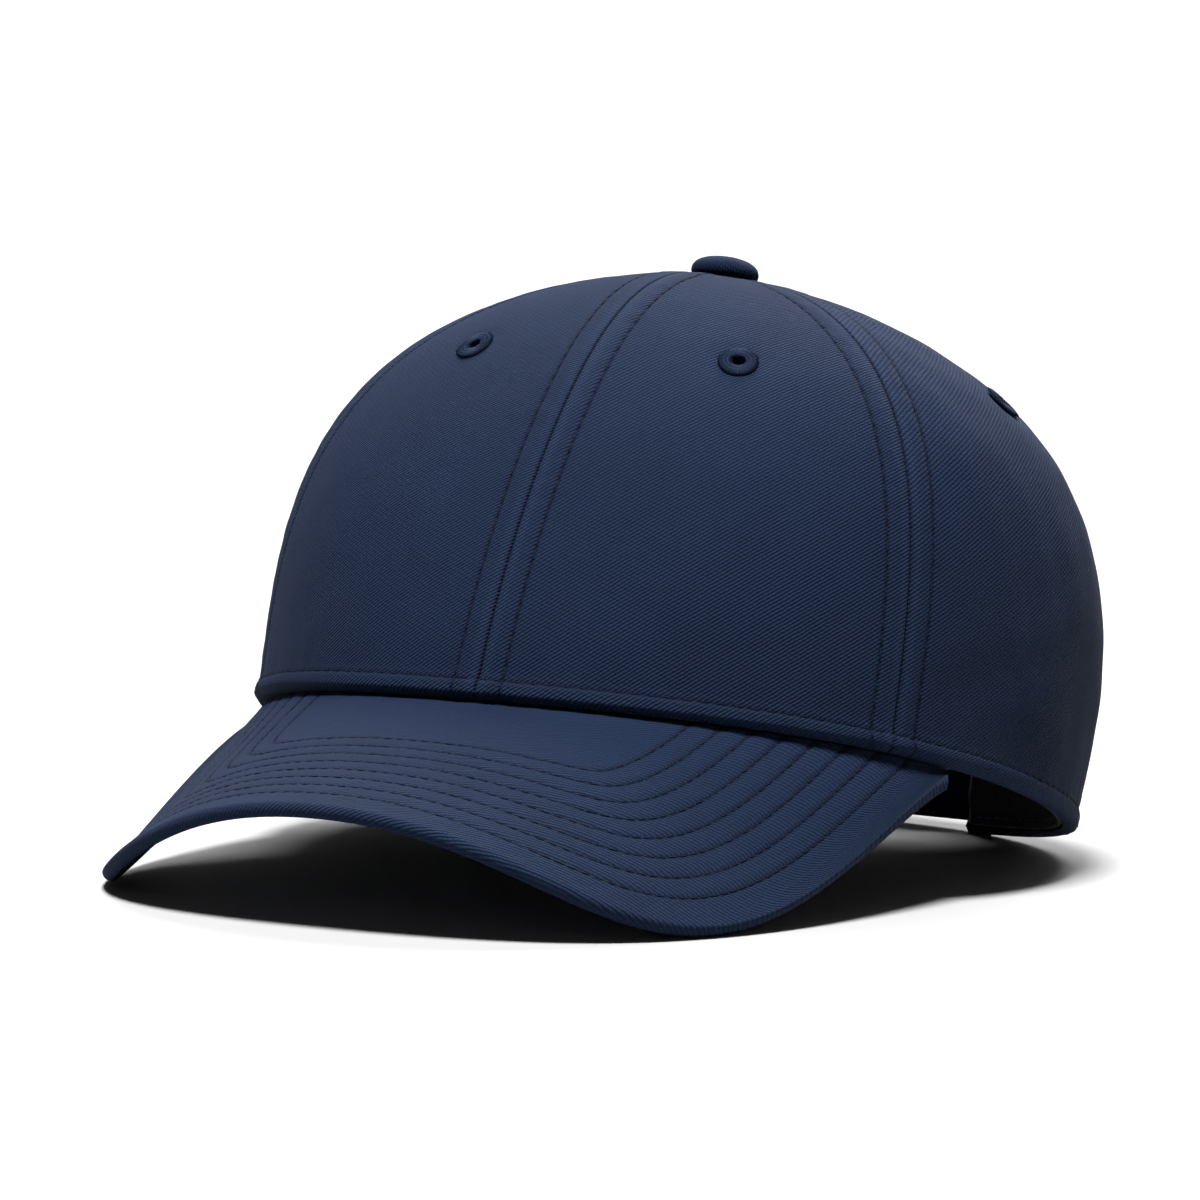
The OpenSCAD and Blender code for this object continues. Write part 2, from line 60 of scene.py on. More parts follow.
rim_front_len = 100.0
rim_back_len = 87.0
rim_half_wid = 87.2
rim_egg = 3.6
rim_dip = 1.6
rim_wave = 2.2
crown_h = 104.6
apex_forward = 10.8
apex_hole_r = 2.6
arch_half_a = math.radians(26)
arch_h = 46.0
panel_t = 1.0
seam_angles = [0.0, math.radians(54.8), math.radians(120), math.pi]
# Powers of the crown's profile and its bulge, at the front, the side and the back
profile_reach = (0.91, 1.05, 0.51)
profile_rise = (0.94, 0.67, 1.69)
profile_bulge = (-0.08, 0.1, 0.06)


def around(a, ends):
    """A value that is ends[0] at the front, ends[1] at the sides and ends[2] at the back."""
    front, side, back = ends
    mean = (front + back) / 4
    return mean + side / 2 + (front - back) / 2 * np.cos(a) + (mean - side / 2) * np.cos(2 * a)


def rim(a):
    length = rim_back_len + (rim_front_len - rim_back_len) * (1 + np.cos(a)) / 2
    x = rim_half_wid * np.sin(a) + rim_egg * np.sin(2 * a)
    z = -rim_dip * (1 - np.cos(2 * a)) / 2 + rim_wave * (np.cos(a) - np.cos(3 * a)) / 2
    return np.stack([x, -length * np.cos(a), z], -1)


def crown(a, f):
    """Point of the crown's outer face at angle a round the head and elevation f."""
    a, f = np.broadcast_arrays(a, f)
    low = rim(a)
    cos_f = np.clip(np.cos(f), 0, 1)
    k = cos_f ** around(a, profile_reach) + around(a, profile_bulge) * np.sin(2 * f) * cos_f
    rise = np.clip(np.sin(f), 0, 1) ** around(a, profile_rise)
    x = k * low[..., 0]
    y = -apex_forward + k * (low[..., 1] + apex_forward)
    return np.stack([x, y, low[..., 2] + (crown_h - low[..., 2]) * rise], -1)


def unit(v):
    return v / np.maximum(np.linalg.norm(v, axis=-1, keepdims=True), 1e-9)


def crown_normal(a, f):
    step = math.radians(0.5)
    top = math.radians(89.95)
    across = crown(a + step, f) - crown(a - step, f)
    return unit(np.cross(across, crown(a, np.minimum(f + step, top)) - crown(a, np.maximum(f - step, 0))))


def skin(a, f, depth):
    """Point at a depth below the crown's outer face."""
    return crown(a, f) - np.asarray(depth)[..., None] * crown_normal(a, f)


def elev(a, h):
    """Elevation at which the crown stands h above its rim."""
    share = np.clip(h / (crown_h - rim(a)[..., 2]), 0, 1)
    return np.arcsin(share ** (1 / around(a, profile_rise)))


def arch_top(a):
    k = np.abs(math.pi - np.abs(a)) / arch_half_a
    return arch_h * np.sqrt(np.clip(1 - k * k, 0, 1))


tip = math.radians(12.995)
up_axis = np.array([0, math.sin(tip), math.cos(tip)])


def tipped(p):
    p = np.asarray(p, float)
    y = p[..., 1] * math.cos(tip) + p[..., 2] * math.sin(tip)
    z = p[..., 2] * math.cos(tip) - p[..., 1] * math.sin(tip)
    return np.stack([p[..., 0], y, z], -1)


# The washer under the crown's top shows where the frame stands on its surface
washer_depth = 1.6
washer_low, washer_high = (np.array(corner) * 1000 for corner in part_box("button_washer"))
standing = (washer_low + washer_high) / 2 + washer_depth * up_axis - tipped([0, -apex_forward, crown_h])


def place(p):
    """Millimetres in the level cap to metres in the frame."""
    return (tipped(p) + standing) / 1000


def hump(x, middle, width):
    return np.exp(-(((x - middle) / width) ** 2))


def rounded(x, r):
    """Depth lost by an edge of radius r at distance x inside it."""
    return r - np.sqrt(np.maximum(r * r - np.clip(r - x, 0, r) ** 2, 0))


def ease(x):
    x = np.clip(x, 0, 1)
    return x * x * (3 - 2 * x)


def waves(x, y, size, seed):
    """Smooth unevenness between about -1 and 1, with bumps about size across."""
    rng = np.random.default_rng(seed)
    total = np.zeros(np.broadcast(x, y).shape)
    for _ in range(7):
        turn, phase = rng.uniform(0, 2 * math.pi, 2)
        k = 2 * math.pi / size * rng.uniform(0.5, 1.3)
        total = total + np.sin(k * (x * math.cos(turn) + y * math.sin(turn)) + phase)
    return total / 3.5


def cloth_shell(name, outer, inner, uv, wear_and_groove_shade, material, keep=None):
    """A closed skin between two matching grids of points, rows up and columns to the right.
    Cells that keep leaves out become holes with walls of their own."""
    rows, cols = outer.shape[:2]
    if keep is None:
        keep = np.ones((rows - 1, cols - 1), bool)
    ids = np.arange(rows * cols).reshape(rows, cols)
    under = ids + rows * cols
    padded = np.pad(keep, 1)

    def quads(mask, *corners):
        return np.stack([c[mask] for c in corners], -1)

    a, b, c, d = ids[:-1, :-1], ids[:-1, 1:], ids[1:, 1:], ids[1:, :-1]
    p, q, r, s = under[:-1, :-1], under[:-1, 1:], under[1:, 1:], under[1:, :-1]
    faces = [quads(keep, a, b, c, d), quads(keep, p, s, r, q)]
    walls = [
        quads(keep & ~padded[:-2, 1:-1], a, p, q, b),
        quads(keep & ~padded[2:, 1:-1], c, r, s, d),
        quads(keep & ~padded[1:-1, :-2], d, s, p, a),
        quads(keep & ~padded[1:-1, 2:], b, q, r, c),
    ]
    quad = np.concatenate(faces + walls)
    used, index = np.unique(quad, return_inverse=True)
    index = index.reshape(quad.shape)
    points = np.concatenate([place(outer).reshape(-1, 3), place(inner).reshape(-1, 3)])[used]
    mesh = bpy.data.meshes.new(name)
    mesh.from_pydata(points.tolist(), [], index.tolist())
    smooth = np.ones(len(quad), bool)
    smooth[-sum(len(w) for w in walls):] = False
    mesh.polygons.foreach_set("use_smooth", smooth)
    flat = np.concatenate([uv.reshape(-1, 2), uv.reshape(-1, 2)])[used]
    layer = mesh.uv_layers.new(name="UVMap")
    layer.data.foreach_set("uv", flat[index.ravel()].astype(np.float32).ravel())
    # Per-point attribute: real wear where positive, painted shade of the grooves where negative; the inner
    # face gets none
    worn = mesh.attributes.new("wear_and_groove_shade", "FLOAT", "POINT")
    value = np.concatenate([wear_and_groove_shade.ravel(), wear_and_groove_shade.ravel() * 0])[used]
    worn.data.foreach_set("value", value.astype(np.float32))
    mesh.materials.append(material)
    obj = bpy.data.objects.new(name, mesh)
    bpy.context.scene.collection.objects.link(obj)
    return obj


class Nodes:
    """A material's node tree, with one short call for each kind of node it needs."""

    def __init__(self, name):
        self.material = bpy.data.materials.new(name)
        self.material.use_nodes = True
        self.tree = self.material.node_tree
        self.shader = self.tree.nodes["Principled BSDF"]

    def node(self, kind, settings=None, **inputs):
        node = self.tree.nodes.new(kind)
        for key, value in (settings or {}).items():
            setattr(node, key, value)
        for key, value in inputs.items():
            self.link(value, node.inputs[key.replace("_", " ")])
        return node

    def link(self, value, socket):
        if isinstance(value, bpy.types.NodeSocket):
            self.tree.links.new(value, socket)
        else:
            socket.default_value = value

    def math(self, operation, a, b=0.0, c=0.0):
        node = self.tree.nodes.new("ShaderNodeMath")
        node.operation = operation
        for value, socket in zip((a, b, c), node.inputs):
            self.link(value, socket)
        return node.outputs[0]

    def noise(self, where, scale, detail=2.0, roughness=0.5):
        node = self.node("ShaderNodeTexNoise", Vector=where, Scale=scale, Detail=detail)
        node.inputs["Roughness"].default_value = roughness
        return node.outputs["Factor"] if "Factor" in node.outputs else node.outputs["Fac"]

    def mix(self, share, a, b, kind="MIX"):
        node = self.tree.nodes.new("ShaderNodeMix")
        node.data_type = "RGBA"
        node.blend_type = kind
        self.link(share, node.inputs[0])
        self.link(a, node.inputs[6])
        self.link(b, node.inputs[7])
        return node.outputs[2]

    def bump(self, height, distance, strength=1.0, under=None):
        node = self.node("ShaderNodeBump", Height=height, Distance=distance, Strength=strength)
        if under is not None:
            self.link(under, node.inputs["Normal"])
        return node.outputs["Normal"]

    def finish(self, colour, roughness, normal, sheen=0.0, tint=(1, 1, 1, 1)):
        self.link(colour, self.shader.inputs["Base Color"])
        self.link(roughness, self.shader.inputs["Roughness"])
        self.link(normal, self.shader.inputs["Normal"])
        self.shader.inputs["Sheen Weight"].default_value = sheen
        self.shader.inputs["Sheen Roughness"].default_value = 0.45
        self.shader.inputs["Sheen Tint"].default_value = tint
        self.shader.inputs["Specular IOR Level"].default_value = 0.07
        return self.material


navy_deep = (0.0014, 0.003, 0.0086, 1)
navy_rib = (0.0078, 0.0162, 0.0425, 1)
navy_worn = (0.018, 0.032, 0.068, 1)
rib_pitch = 0.72
rib_slope = math.radians(38)
yarn_len = 1.15


def twill(name, deep, rib, worn, slope=rib_slope):
    """Brushed cotton twill: slanted ribs made of short floats of yarn, with lint and uneven dye.
    The attribute is positive where the cloth is rubbed pale as real wear, and negative in seams and stitch
    rows, which it darkens as painted shade."""
    n = Nodes(name)
    across = n.node("ShaderNodeSeparateXYZ", Vector=n.node("ShaderNodeUVMap").outputs[0])
    place_at = n.node("ShaderNodeTexCoord").outputs["Object"]
    x, y = across.outputs[0], across.outputs[1]
    # Painted shade: a darker navy for the cloth in the seams and under the stitch rows
    painted_groove_shade = tuple(c * 0.35 for c in deep[:3]) + (1,)
    wander = n.noise(place_at, 350.0, 2.0)
    rib_at = n.math("DIVIDE", n.math("SUBTRACT", n.math("MULTIPLY", y, math.cos(slope)),
                                     n.math("MULTIPLY", x, math.sin(slope))), rib_pitch)
    rib_at = n.math("ADD", rib_at, n.math("MULTIPLY", wander, 0.5))
    along = n.math("DIVIDE", n.math("ADD", n.math("MULTIPLY", x, math.cos(slope)),
                                    n.math("MULTIPLY", y, math.sin(slope))), yarn_len)
    along = n.math("ADD", along, n.math("MULTIPLY", n.math("FLOOR", rib_at), 0.37))
    crest = n.math("ABSOLUTE", n.math("SINE", n.math("MULTIPLY", rib_at, math.pi)))
    float_end = n.math("ABSOLUTE", n.math("SINE", n.math("MULTIPLY", along, math.pi)))
    yarn = n.math("MULTIPLY", n.math("POWER", crest, 0.7),
                  n.math("ADD", n.math("MULTIPLY", n.math("POWER", float_end, 0.5), 0.45), 0.55))
    fibre = n.noise(place_at, 5200.0, 3.0, 0.7)
    lint = n.math("GREATER_THAN", n.noise(place_at, 2600.0, 1.0), 0.735)
    dye = n.noise(place_at, 38.0, 4.0, 0.6)
    wear_and_groove_shade_at = n.node("ShaderNodeAttribute", {"attribute_name": "wear_and_groove_shade"}).outputs["Fac"]
    tone = n.math("ADD", n.math("MULTIPLY", yarn, 0.72), n.math("MULTIPLY", fibre, 0.28))
    colour = n.mix(tone, deep, rib)
    colour = n.mix(n.math("MULTIPLY", n.math("SUBTRACT", dye, 0.35), 0.55), colour, deep)
    colour = n.mix(n.math("MULTIPLY", wear_and_groove_shade_at, n.math("MULTIPLY", tone, 0.55)), colour, worn)
    colour = n.mix(n.math("MULTIPLY", lint, 0.3), colour, worn)
    # Painted shade: where the attribute is negative, the cloth is darkened towards the painted shade colour
    colour = n.mix(n.math("MULTIPLY", wear_and_groove_shade_at, -1.0), colour, painted_groove_shade)
    soft = n.bump(fibre, 0.00006, 0.6)
    normal = n.bump(yarn, 0.00022, 1.0, soft)
    rough = n.math("ADD", n.math("MULTIPLY", fibre, 0.14), 0.8)
    return n.finish(colour, rough, normal, 0.02, (0.45, 0.58, 0.9, 1))


crown_twill = twill("crown_twill", navy_deep, navy_rib, navy_worn)

topstitch_from_seam = 5.5
topstitch_pitch = 3.3
hemstitch_up = 3.8
hemstitch_pitch = 3.6
hem_h = 5.2
edge_zone = 8.0
seam_half_gap = 0.04
cloth_step = 1.15
# Steps that are shorter where the cloth rolls into a seam or dips under a row of stitches
near_seam = [0, 0.15, 0.35, 0.6, 0.9, 1.3, 1.9, 2.6, 3.3, 4, 4.6, 4.95, 5.25, 5.5, 5.75, 6.05, 6.5, 7.2,
             edge_zone]
near_hem = [0, 0.2, 0.45, 0.75, 1.1, 1.5, 2, 2.6, 3.1, 3.5, 3.8, 4.1, 4.5, 5, 5.6, 6.3, 7, edge_zone]
# Angle and height of the eyelet in each panel of the left half
eyelet_places = {"front": (math.radians(29.4), 78.6), "side": (math.radians(87), 84.0),
                 "back": (math.radians(150), 68.0)}
eyelet_bore_r = 2.45


def lengths(points):
    """Distance run along each row of points."""
    step = np.linalg.norm(np.diff(points, axis=-2), axis=-1)
    return np.concatenate([np.zeros(step.shape[:-1] + (1,)), np.cumsum(step, -1)], -1)


def meridians(a, end_r, count=500):
    """Elevations from the hem or arch up to end_r from the apex, and the length run to each."""
    low = elev(a, arch_top(a))
    t = np.linspace(0, 1, count)
    f = low[:, None] + (math.radians(89.9) - low[:, None]) * (1 - (1 - t) ** 1.6)
    points = crown(a[:, None], f)
    reach = np.hypot(points[..., 0], points[..., 1] + apex_forward)
    end = np.array([np.interp(-end_r, -r, g) for r, g in zip(reach, f)])
    f = low[:, None] + (end - low)[:, None] * (1 - (1 - t) ** 1.6)
    return f, lengths(crown(a[:, None], f))


def panel_grid(a0, a1, end_r=apex_hole_r):
    """Angle, elevation and distances from the seams and hem of every point of a panel."""
    a = np.linspace(a0, a1, 81)
    f, run = meridians(a, end_r)
    total = run[:, -1]
    tall = np.median(total)
    up = np.array(near_hem + list(np.arange(edge_zone + cloth_step, tall - 0.5, cloth_step)) + [tall])
    height = np.where(up[:, None] <= edge_zone, up[:, None],
                      edge_zone + (up[:, None] - edge_zone) * (total - edge_zone) / (tall - edge_zone))
    f_rows = np.stack([np.interp(height[:, k], run[k], f[k]) for k in range(len(a))], 1)
    wide = lengths(crown(a[None], f_rows))
    half_wide = wide[:, -1].max() / 2
    half = np.array(near_seam + list(np.arange(edge_zone + cloth_step, half_wide, cloth_step)))
    rows = []
    for j, cumulative in enumerate(wide):
        half_here = cumulative[-1] / 2 - seam_half_gap
        zone = min(edge_zone, 0.6 * half_here)
        spread = (half_here - zone) / (half[-1] - edge_zone)
        d = np.where(half <= edge_zone, half * zone / edge_zone, zone + (half - edge_zone) * spread)
        x = seam_half_gap + np.concatenate([d, 2 * half_here - d[-2::-1]])
        rows.append([np.interp(x, cumulative, a), np.interp(x, cumulative, f_rows[j]),
                     x - cumulative[-1] / 2, np.interp(x, cumulative, height[j]),
                     np.full(len(x), zone / edge_zone)])
    grid = np.array(rows)
    seam = np.concatenate([half, half[-2::-1]])[None] + 0 * grid[:, 0]
    return {"a": grid[:, 0], "f": grid[:, 1], "x": grid[:, 2], "up": grid[:, 3],
            "taper": grid[:, 4], "seam": seam}


def panel_relief(g, slack, seed):
    """How far the cloth's outer and inner faces lie below the crown's smooth form."""
    hem = 1 - ease(arch_top(g["a"]) / 4)
    beat = 0.7 + 0.3 * np.cos(2 * math.pi * g["up"] / topstitch_pitch)
    seam_shape = (rounded(g["seam"], 0.45) - 0.25 * hump(g["seam"], 3.0, 2.0)
                  + 0.32 * hump(g["seam"], topstitch_from_seam, 0.5) * beat)
    pucker = 0.06 * waves(g["up"], 0 * g["up"], 5.5, seed + 3) * hump(g["seam"], 4.6, 2.8)
    hem_beat = 0.75 + 0.25 * np.cos(2 * math.pi * g["x"] / hemstitch_pitch)
    hem_shape = (rounded(g["up"], 1.5) - 0.8 * (1 - ease((g["up"] - 2.6) / (hem_h - 2.6)))
                 + 0.42 * hump(g["up"], hemstitch_up, 0.5) * hem_beat)
    hem_pucker = 0.12 * waves(g["x"], 0 * g["x"], 7, seed + 5) * hump(g["up"], 5, 3.5)
    inside = ease((g["seam"] - 4) / 10) * ease((g["up"] - 4) / 14)
    height = g["up"] + arch_top(g["a"])
    drape = waves(g["x"], height, 46, seed) + 0.35 * waves(g["x"], height, 17, seed + 1)
    outer = g["taper"] * (seam_shape + pucker) + hem * (hem_shape + hem_pucker) + slack * drape * inside
    inner = (panel_t + slack * drape * inside + 0.75 * g["taper"] * hump(g["seam"], 0, 1.6)
             + hem * 1.5 * (1 - ease((g["up"] - 2.5) / 4)))
    return outer, np.maximum(inner, outer + 0.45)


def worn_edges_and_groove_shade(g):
    hem = 1 - ease(arch_top(g["a"]) / 4)
    rubbed = g["taper"] * hump(g["seam"], 1.5, 0.8) * 0.45 + hem * hump(g["up"], 1.2, 1.1) * 0.6
    # Rubbed seam edges and hem roll are real wear; the seam line and the stitch rows get negative values,
    # painted shade in their grooves
    tight = 0.6 + 0.4 * np.cos(2 * math.pi * g["up"] / 2.4)
    painted_groove_shade = np.maximum(hump(g["seam"], 0, 0.35) * tight, 0.75 * hump(g["seam"], topstitch_from_seam, 0.4))
    painted_groove_shade = np.maximum(g["taper"] * painted_groove_shade, hem * 0.75 * hump(g["up"], hemstitch_up, 0.4))
    return np.clip(rubbed - painted_groove_shade, -1, 1)


panel_sides = {"left": 1, "right": -1}
panel_slack = {"front": 0.16, "side": 0.42, "back": 0.38}
panel_grids = {}
for part, (first, last) in {"front": (0, 1), "side": (1, 2), "back": (2, 3)}.items():
    for side, sign in panel_sides.items():
        ends = sorted([sign * seam_angles[first], sign * seam_angles[last]])
        grid = panel_grid(*ends)
        seed = 10 * first + (5 if sign < 0 else 0)
        outer_d, inner_d = panel_relief(grid, panel_slack[part], seed)
        eye_a, eye_h = eyelet_places[part]
        eye = crown(np.array(sign * eye_a), elev(np.array(sign * eye_a), eye_h))
        face = crown(grid["a"], grid["f"])
        from_eye = np.linalg.norm(face - eye, axis=-1)
        outer_d = outer_d + 0.35 * hump(from_eye, 3.5, 2.6)
        normal = crown_normal(grid["a"], grid["f"])
        outer = face - outer_d[..., None] * normal
        inner = face - np.maximum(inner_d, outer_d + 0.45)[..., None] * normal
        cell = (from_eye[:-1, :-1] + from_eye[1:, 1:] + from_eye[:-1, 1:] + from_eye[1:, :-1]) / 4
        uv = np.stack([grid["x"], grid["up"] + arch_top(grid["a"])], -1)
        grid.update(outer=outer, inner=inner, normal=normal, hole=cell > eyelet_bore_r)
        piece = cloth_shell(f"{part}_panel_{side}_cloth", outer, inner, uv, worn_edges_and_groove_shade(grid),
                            crown_twill, grid["hole"])
        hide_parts(f"{part}_panel_{side}")
        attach(piece, "cap")
        panel_grids[part, side] = grid

# ---- Buckram ----
# Stiff open-weave cotton, glued and sewn behind each front panel to hold the forehead upright.
# It stops short of the button and shows only inside the cap.

buckram_t = 0.55
buckram_end_r = 10.0
buckram_mesh_pitch = 1.3


def open_weave(name, dark, light, pitch):
    """Black yarns crossing over and under, with the gaps between them left dark."""
    n = Nodes(name)
    at = n.node("ShaderNodeSeparateXYZ", Vector=n.node("ShaderNodeUVMap").outputs[0])
    place_at = n.node("ShaderNodeTexCoord").outputs["Object"]
    warp = n.math("ABSOLUTE", n.math("SINE", n.math("MULTIPLY", at.outputs[0], math.pi / pitch)))
    weft = n.math("ABSOLUTE", n.math("SINE", n.math("MULTIPLY", at.outputs[1], math.pi / pitch)))
    yarn = n.math("MAXIMUM", warp, weft)
    knot = n.math("MULTIPLY", warp, weft)
    fuzz = n.noise(place_at, 3000.0, 3.0, 0.65)
    dye = n.noise(place_at, 60.0, 3.0)
    tone = n.math("ADD", n.math("MULTIPLY", n.math("POWER", yarn, 3.0), 0.7), n.math("MULTIPLY", fuzz, 0.3))
    colour = n.mix(tone, dark, light)
    colour = n.mix(n.math("MULTIPLY", dye, 0.3), colour, dark)
    raised = n.math("ADD", yarn, n.math("MULTIPLY", knot, 0.4))
    normal = n.bump(raised, 0.00025, 0.9, n.bump(fuzz, 0.00008, 0.6))
    return n.finish(colour, n.math("ADD", n.math("MULTIPLY", fuzz, 0.15), 0.78), normal, 0.1)


black_deep = (0.0025, 0.0025, 0.003, 1)
black_raised = (0.013, 0.0135, 0.016, 1)
buckram_cloth = open_weave("buckram_weave", black_deep, black_raised, buckram_mesh_pitch)
for side in panel_sides:
    grid = panel_grids["front", side]
    reach = np.hypot(grid["inner"][..., 0], grid["inner"][..., 1] + apex_forward)
    rows = reach.mean(1) > buckram_end_r
    normal = grid["normal"][rows]
    outer = grid["inner"][rows] - 0.06 * normal
    inner = outer - buckram_t * normal
    uv = np.stack([grid["x"], grid["up"]], -1)[rows]
    piece = cloth_shell(f"front_buckram_{side}_backing", outer[:, ::2], inner[:, ::2], uv[:, ::2],
                        0 * uv[:, ::2, 0], buckram_cloth, grid["hole"][rows[1:]][:, ::2])
    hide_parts(f"front_buckram_{side}")
    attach(piece, "cap")

# ---- Seam tapes ----
# Black woven tape, 14 mm wide, covers each raw seam inside the crown. The topstitching that shows
# outside passes through it, so two rows of thread run along each tape.

tape_wid = 14.0
tape_t = 0.5
tape_low = 4.0
tape_end_r = 9.0
tape_rib_pitch = 0.9


def ribbed_tape(name, dark, light, pitch, sheen=0.12):
    """Narrow woven tape with fine ribs across it and a herringbone turn at each edge."""
    n = Nodes(name)
    at = n.node("ShaderNodeSeparateXYZ", Vector=n.node("ShaderNodeUVMap").outputs[0])
    place_at = n.node("ShaderNodeTexCoord").outputs["Object"]
    zig = n.math("PINGPONG", at.outputs[0], 1.75)
    rib_at = n.math("ADD", at.outputs[1], n.math("MULTIPLY", zig, 0.8))
    rib = n.math("ABSOLUTE", n.math("SINE", n.math("MULTIPLY", rib_at, math.pi / pitch)))
    fuzz = n.noise(place_at, 3600.0, 3.0, 0.7)
    tone = n.math("ADD", n.math("MULTIPLY", rib, 0.65), n.math("MULTIPLY", fuzz, 0.35))
    colour = n.mix(tone, dark, light)
    colour = n.mix(n.math("MULTIPLY", n.noise(place_at, 70.0, 3.0), 0.35), colour, dark)
    normal = n.bump(rib, 0.00014, 0.9, n.bump(fuzz, 0.00006, 0.6))
    return n.finish(colour, n.math("ADD", n.math("MULTIPLY", fuzz, 0.18), 0.7), normal, sheen)


def along_meridian(a0, end_r, wid, low, step):
    """Grid of a strip that follows the crown up from a rim height, and the distances over it."""
    f, run = meridians(np.array([a0]), end_r)
    first = np.interp(low, crown(a0, f[0])[:, 2] - rim(np.array(a0))[2], run[0])
    up = np.linspace(first, run[0, -1], int((run[0, -1] - first) / step))
    f = np.interp(up, run[0], f[0])
    turn = 0.01
    speed = np.linalg.norm(crown(a0 + turn, f) - crown(a0 - turn, f), axis=-1) / (2 * turn)
    half = np.minimum(wid / 2, speed * math.radians(26))
    across = np.linspace(-1, 1, 25)
    x = across[None] * half[:, None]
    return a0 + x / speed[:, None], f[:, None] + 0 * x, x, up[:, None] + 0 * x


tape_cloth = ribbed_tape("seam_tape_weave", black_deep, black_raised, tape_rib_pitch)
tape_places = {"seam_tape_front": (0.0, tape_low, 2.05), "seam_tape_back": (math.pi, arch_h + 1, 1.3)}
for side, sign in panel_sides.items():
    tape_places[f"seam_tape_front_side_{side}"] = (sign * seam_angles[1], tape_low, 2.05)
    tape_places[f"seam_tape_side_back_{side}"] = (sign * seam_angles[2], tape_low, 1.3)
tape_rows = []
for name, (a0, low, depth) in tape_places.items():
    a, f, x, up = along_meridian(a0, tape_end_r, tape_wid, low, 1.3)
    normal = crown_normal(a, f)
    edge = tape_wid / 2 - np.abs(x)
    top_d = depth + 0.75 * hump(x, 0, 2.4) + 0.12 * waves(x, up, 19, 40)
    outer = crown(a, f) - top_d[..., None] * normal
    inner = outer - (tape_t + 0.08 * hump(edge, 0.8, 0.6))[..., None] * normal
    piece = cloth_shell(f"{name}_strip", outer, inner, np.stack([x, up], -1), 0 * x, tape_cloth)
    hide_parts(name)
    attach(piece, "cap")
    for col in (3, -4):
        tape_rows.append((inner[:, col], -normal[:, col], topstitch_pitch))

# ---- Crown stitching ----
# Navy polyester thread, lockstitched in short even stitches that sink into the cloth at both ends:
# a row on each side of every seam, one round the hem, and the same seam rows inside on the tapes.

# Navy thread colours, darkened almost to black as painted shade of the dimples the stitches sink into
thread_dark_painted_shade = (0.0006, 0.0013, 0.005, 1)
thread_pale_painted_shade = (0.0035, 0.008, 0.026, 1)


def twisted_thread(name, dark, light):
    """Two-ply sewing thread: the plies wind round each stitch, and a few fibres catch the light."""
    n = Nodes(name)
    ply = n.node("ShaderNodeSeparateXYZ",
                 Vector=n.node("ShaderNodeAttribute", {"attribute_name": "ply"}).outputs["Vector"])
    place_at = n.node("ShaderNodeTexCoord").outputs["Object"]
    turn = n.math("ARCTAN2", ply.outputs[1], ply.outputs[2])
    twist_at = n.math("ADD", n.math("MULTIPLY", ply.outputs[0], 12.0), turn)
    twist = n.math("ABSOLUTE", n.math("SINE", twist_at))
    fibre = n.noise(place_at, 9000.0, 2.0, 0.6)
    tone = n.math("ADD", n.math("MULTIPLY", twist, 0.55), n.math("MULTIPLY", fibre, 0.45))
    colour = n.mix(tone, dark, light)
    normal = n.bump(twist, 0.0001, 0.8)
    return n.finish(colour, n.math("ADD", n.math("MULTIPLY", fibre, 0.2), 0.7), normal)


def scatter_tree(name, shape, settings):
    """A tree that sets one small thread shape on every point of a mesh, lying along the point's
    'along' and standing on its 'out', with a little unevenness from one to the next."""
    tree = bpy.data.node_groups.new(name, "GeometryNodeTree")
    tree.interface.new_socket("Points", in_out="INPUT", socket_type="NodeSocketGeometry")
    for label, kind, value in settings:
        socket = tree.interface.new_socket(label, in_out="INPUT", socket_type=kind)
        if value is not None:
            socket.default_value = value
    tree.interface.new_socket("Mesh", in_out="OUTPUT", socket_type="NodeSocketGeometry")
    new, link = tree.nodes.new, tree.links.new
    given = new("NodeGroupInput").outputs
    thread = shape(tree, given)
    keep = new("GeometryNodeStoreNamedAttribute")
    keep.data_type = "FLOAT_VECTOR"
    keep.inputs["Name"].default_value = "ply"
    link(thread, keep.inputs["Geometry"])
    link(new("GeometryNodeInputPosition").outputs[0], keep.inputs["Value"])
    axes = new("FunctionNodeAxesToRotation")
    axes.primary_axis = "X"
    axes.secondary_axis = "Z"
    for label, socket in (("along", axes.inputs[0]), ("out", axes.inputs[1])):
        attribute = new("GeometryNodeInputNamedAttribute")
        attribute.data_type = "FLOAT_VECTOR"
        attribute.inputs["Name"].default_value = label
        link(attribute.outputs["Attribute"], socket)
    uneven = new("FunctionNodeRandomValue")
    uneven.inputs[2].default_value = 0.88
    uneven.inputs[3].default_value = 1.12
    link(given["Seed"], uneven.inputs["Seed"])
    size = new("ShaderNodeCombineXYZ")
    longer = new("ShaderNodeMath")
    longer.operation = "MULTIPLY"
    link(given["Length"], longer.inputs[0])
    link(uneven.outputs[1], longer.inputs[1])
    link(longer.outputs[0], size.inputs[0])
    link(given["Width"], size.inputs[1])
    link(given["Height"], size.inputs[2])
    lay = new("GeometryNodeInstanceOnPoints")
    link(given["Points"], lay.inputs["Points"])
    link(keep.outputs[0], lay.inputs["Instance"])
    link(axes.outputs[0], lay.inputs["Rotation"])
    link(size.outputs[0], lay.inputs["Scale"])
    real = new("GeometryNodeRealizeInstances")
    link(lay.outputs[0], real.inputs[0])
    smooth = new("GeometryNodeSetShadeSmooth")
    link(real.outputs[0], smooth.inputs[0])
    finish = new("GeometryNodeSetMaterial")
    link(smooth.outputs[0], finish.inputs["Geometry"])
    link(given["Material"], finish.inputs["Material"])
    link(finish.outputs[0], new("NodeGroupOutput").inputs[0])
    return tree


def stitch_shape(tree, given):
    bead = tree.nodes.new("GeometryNodeMeshUVSphere")
    bead.inputs["Segments"].default_value = 6
    bead.inputs["Rings"].default_value = 5
    bead.inputs["Radius"].default_value = 0.5
    return bead.outputs["Mesh"]


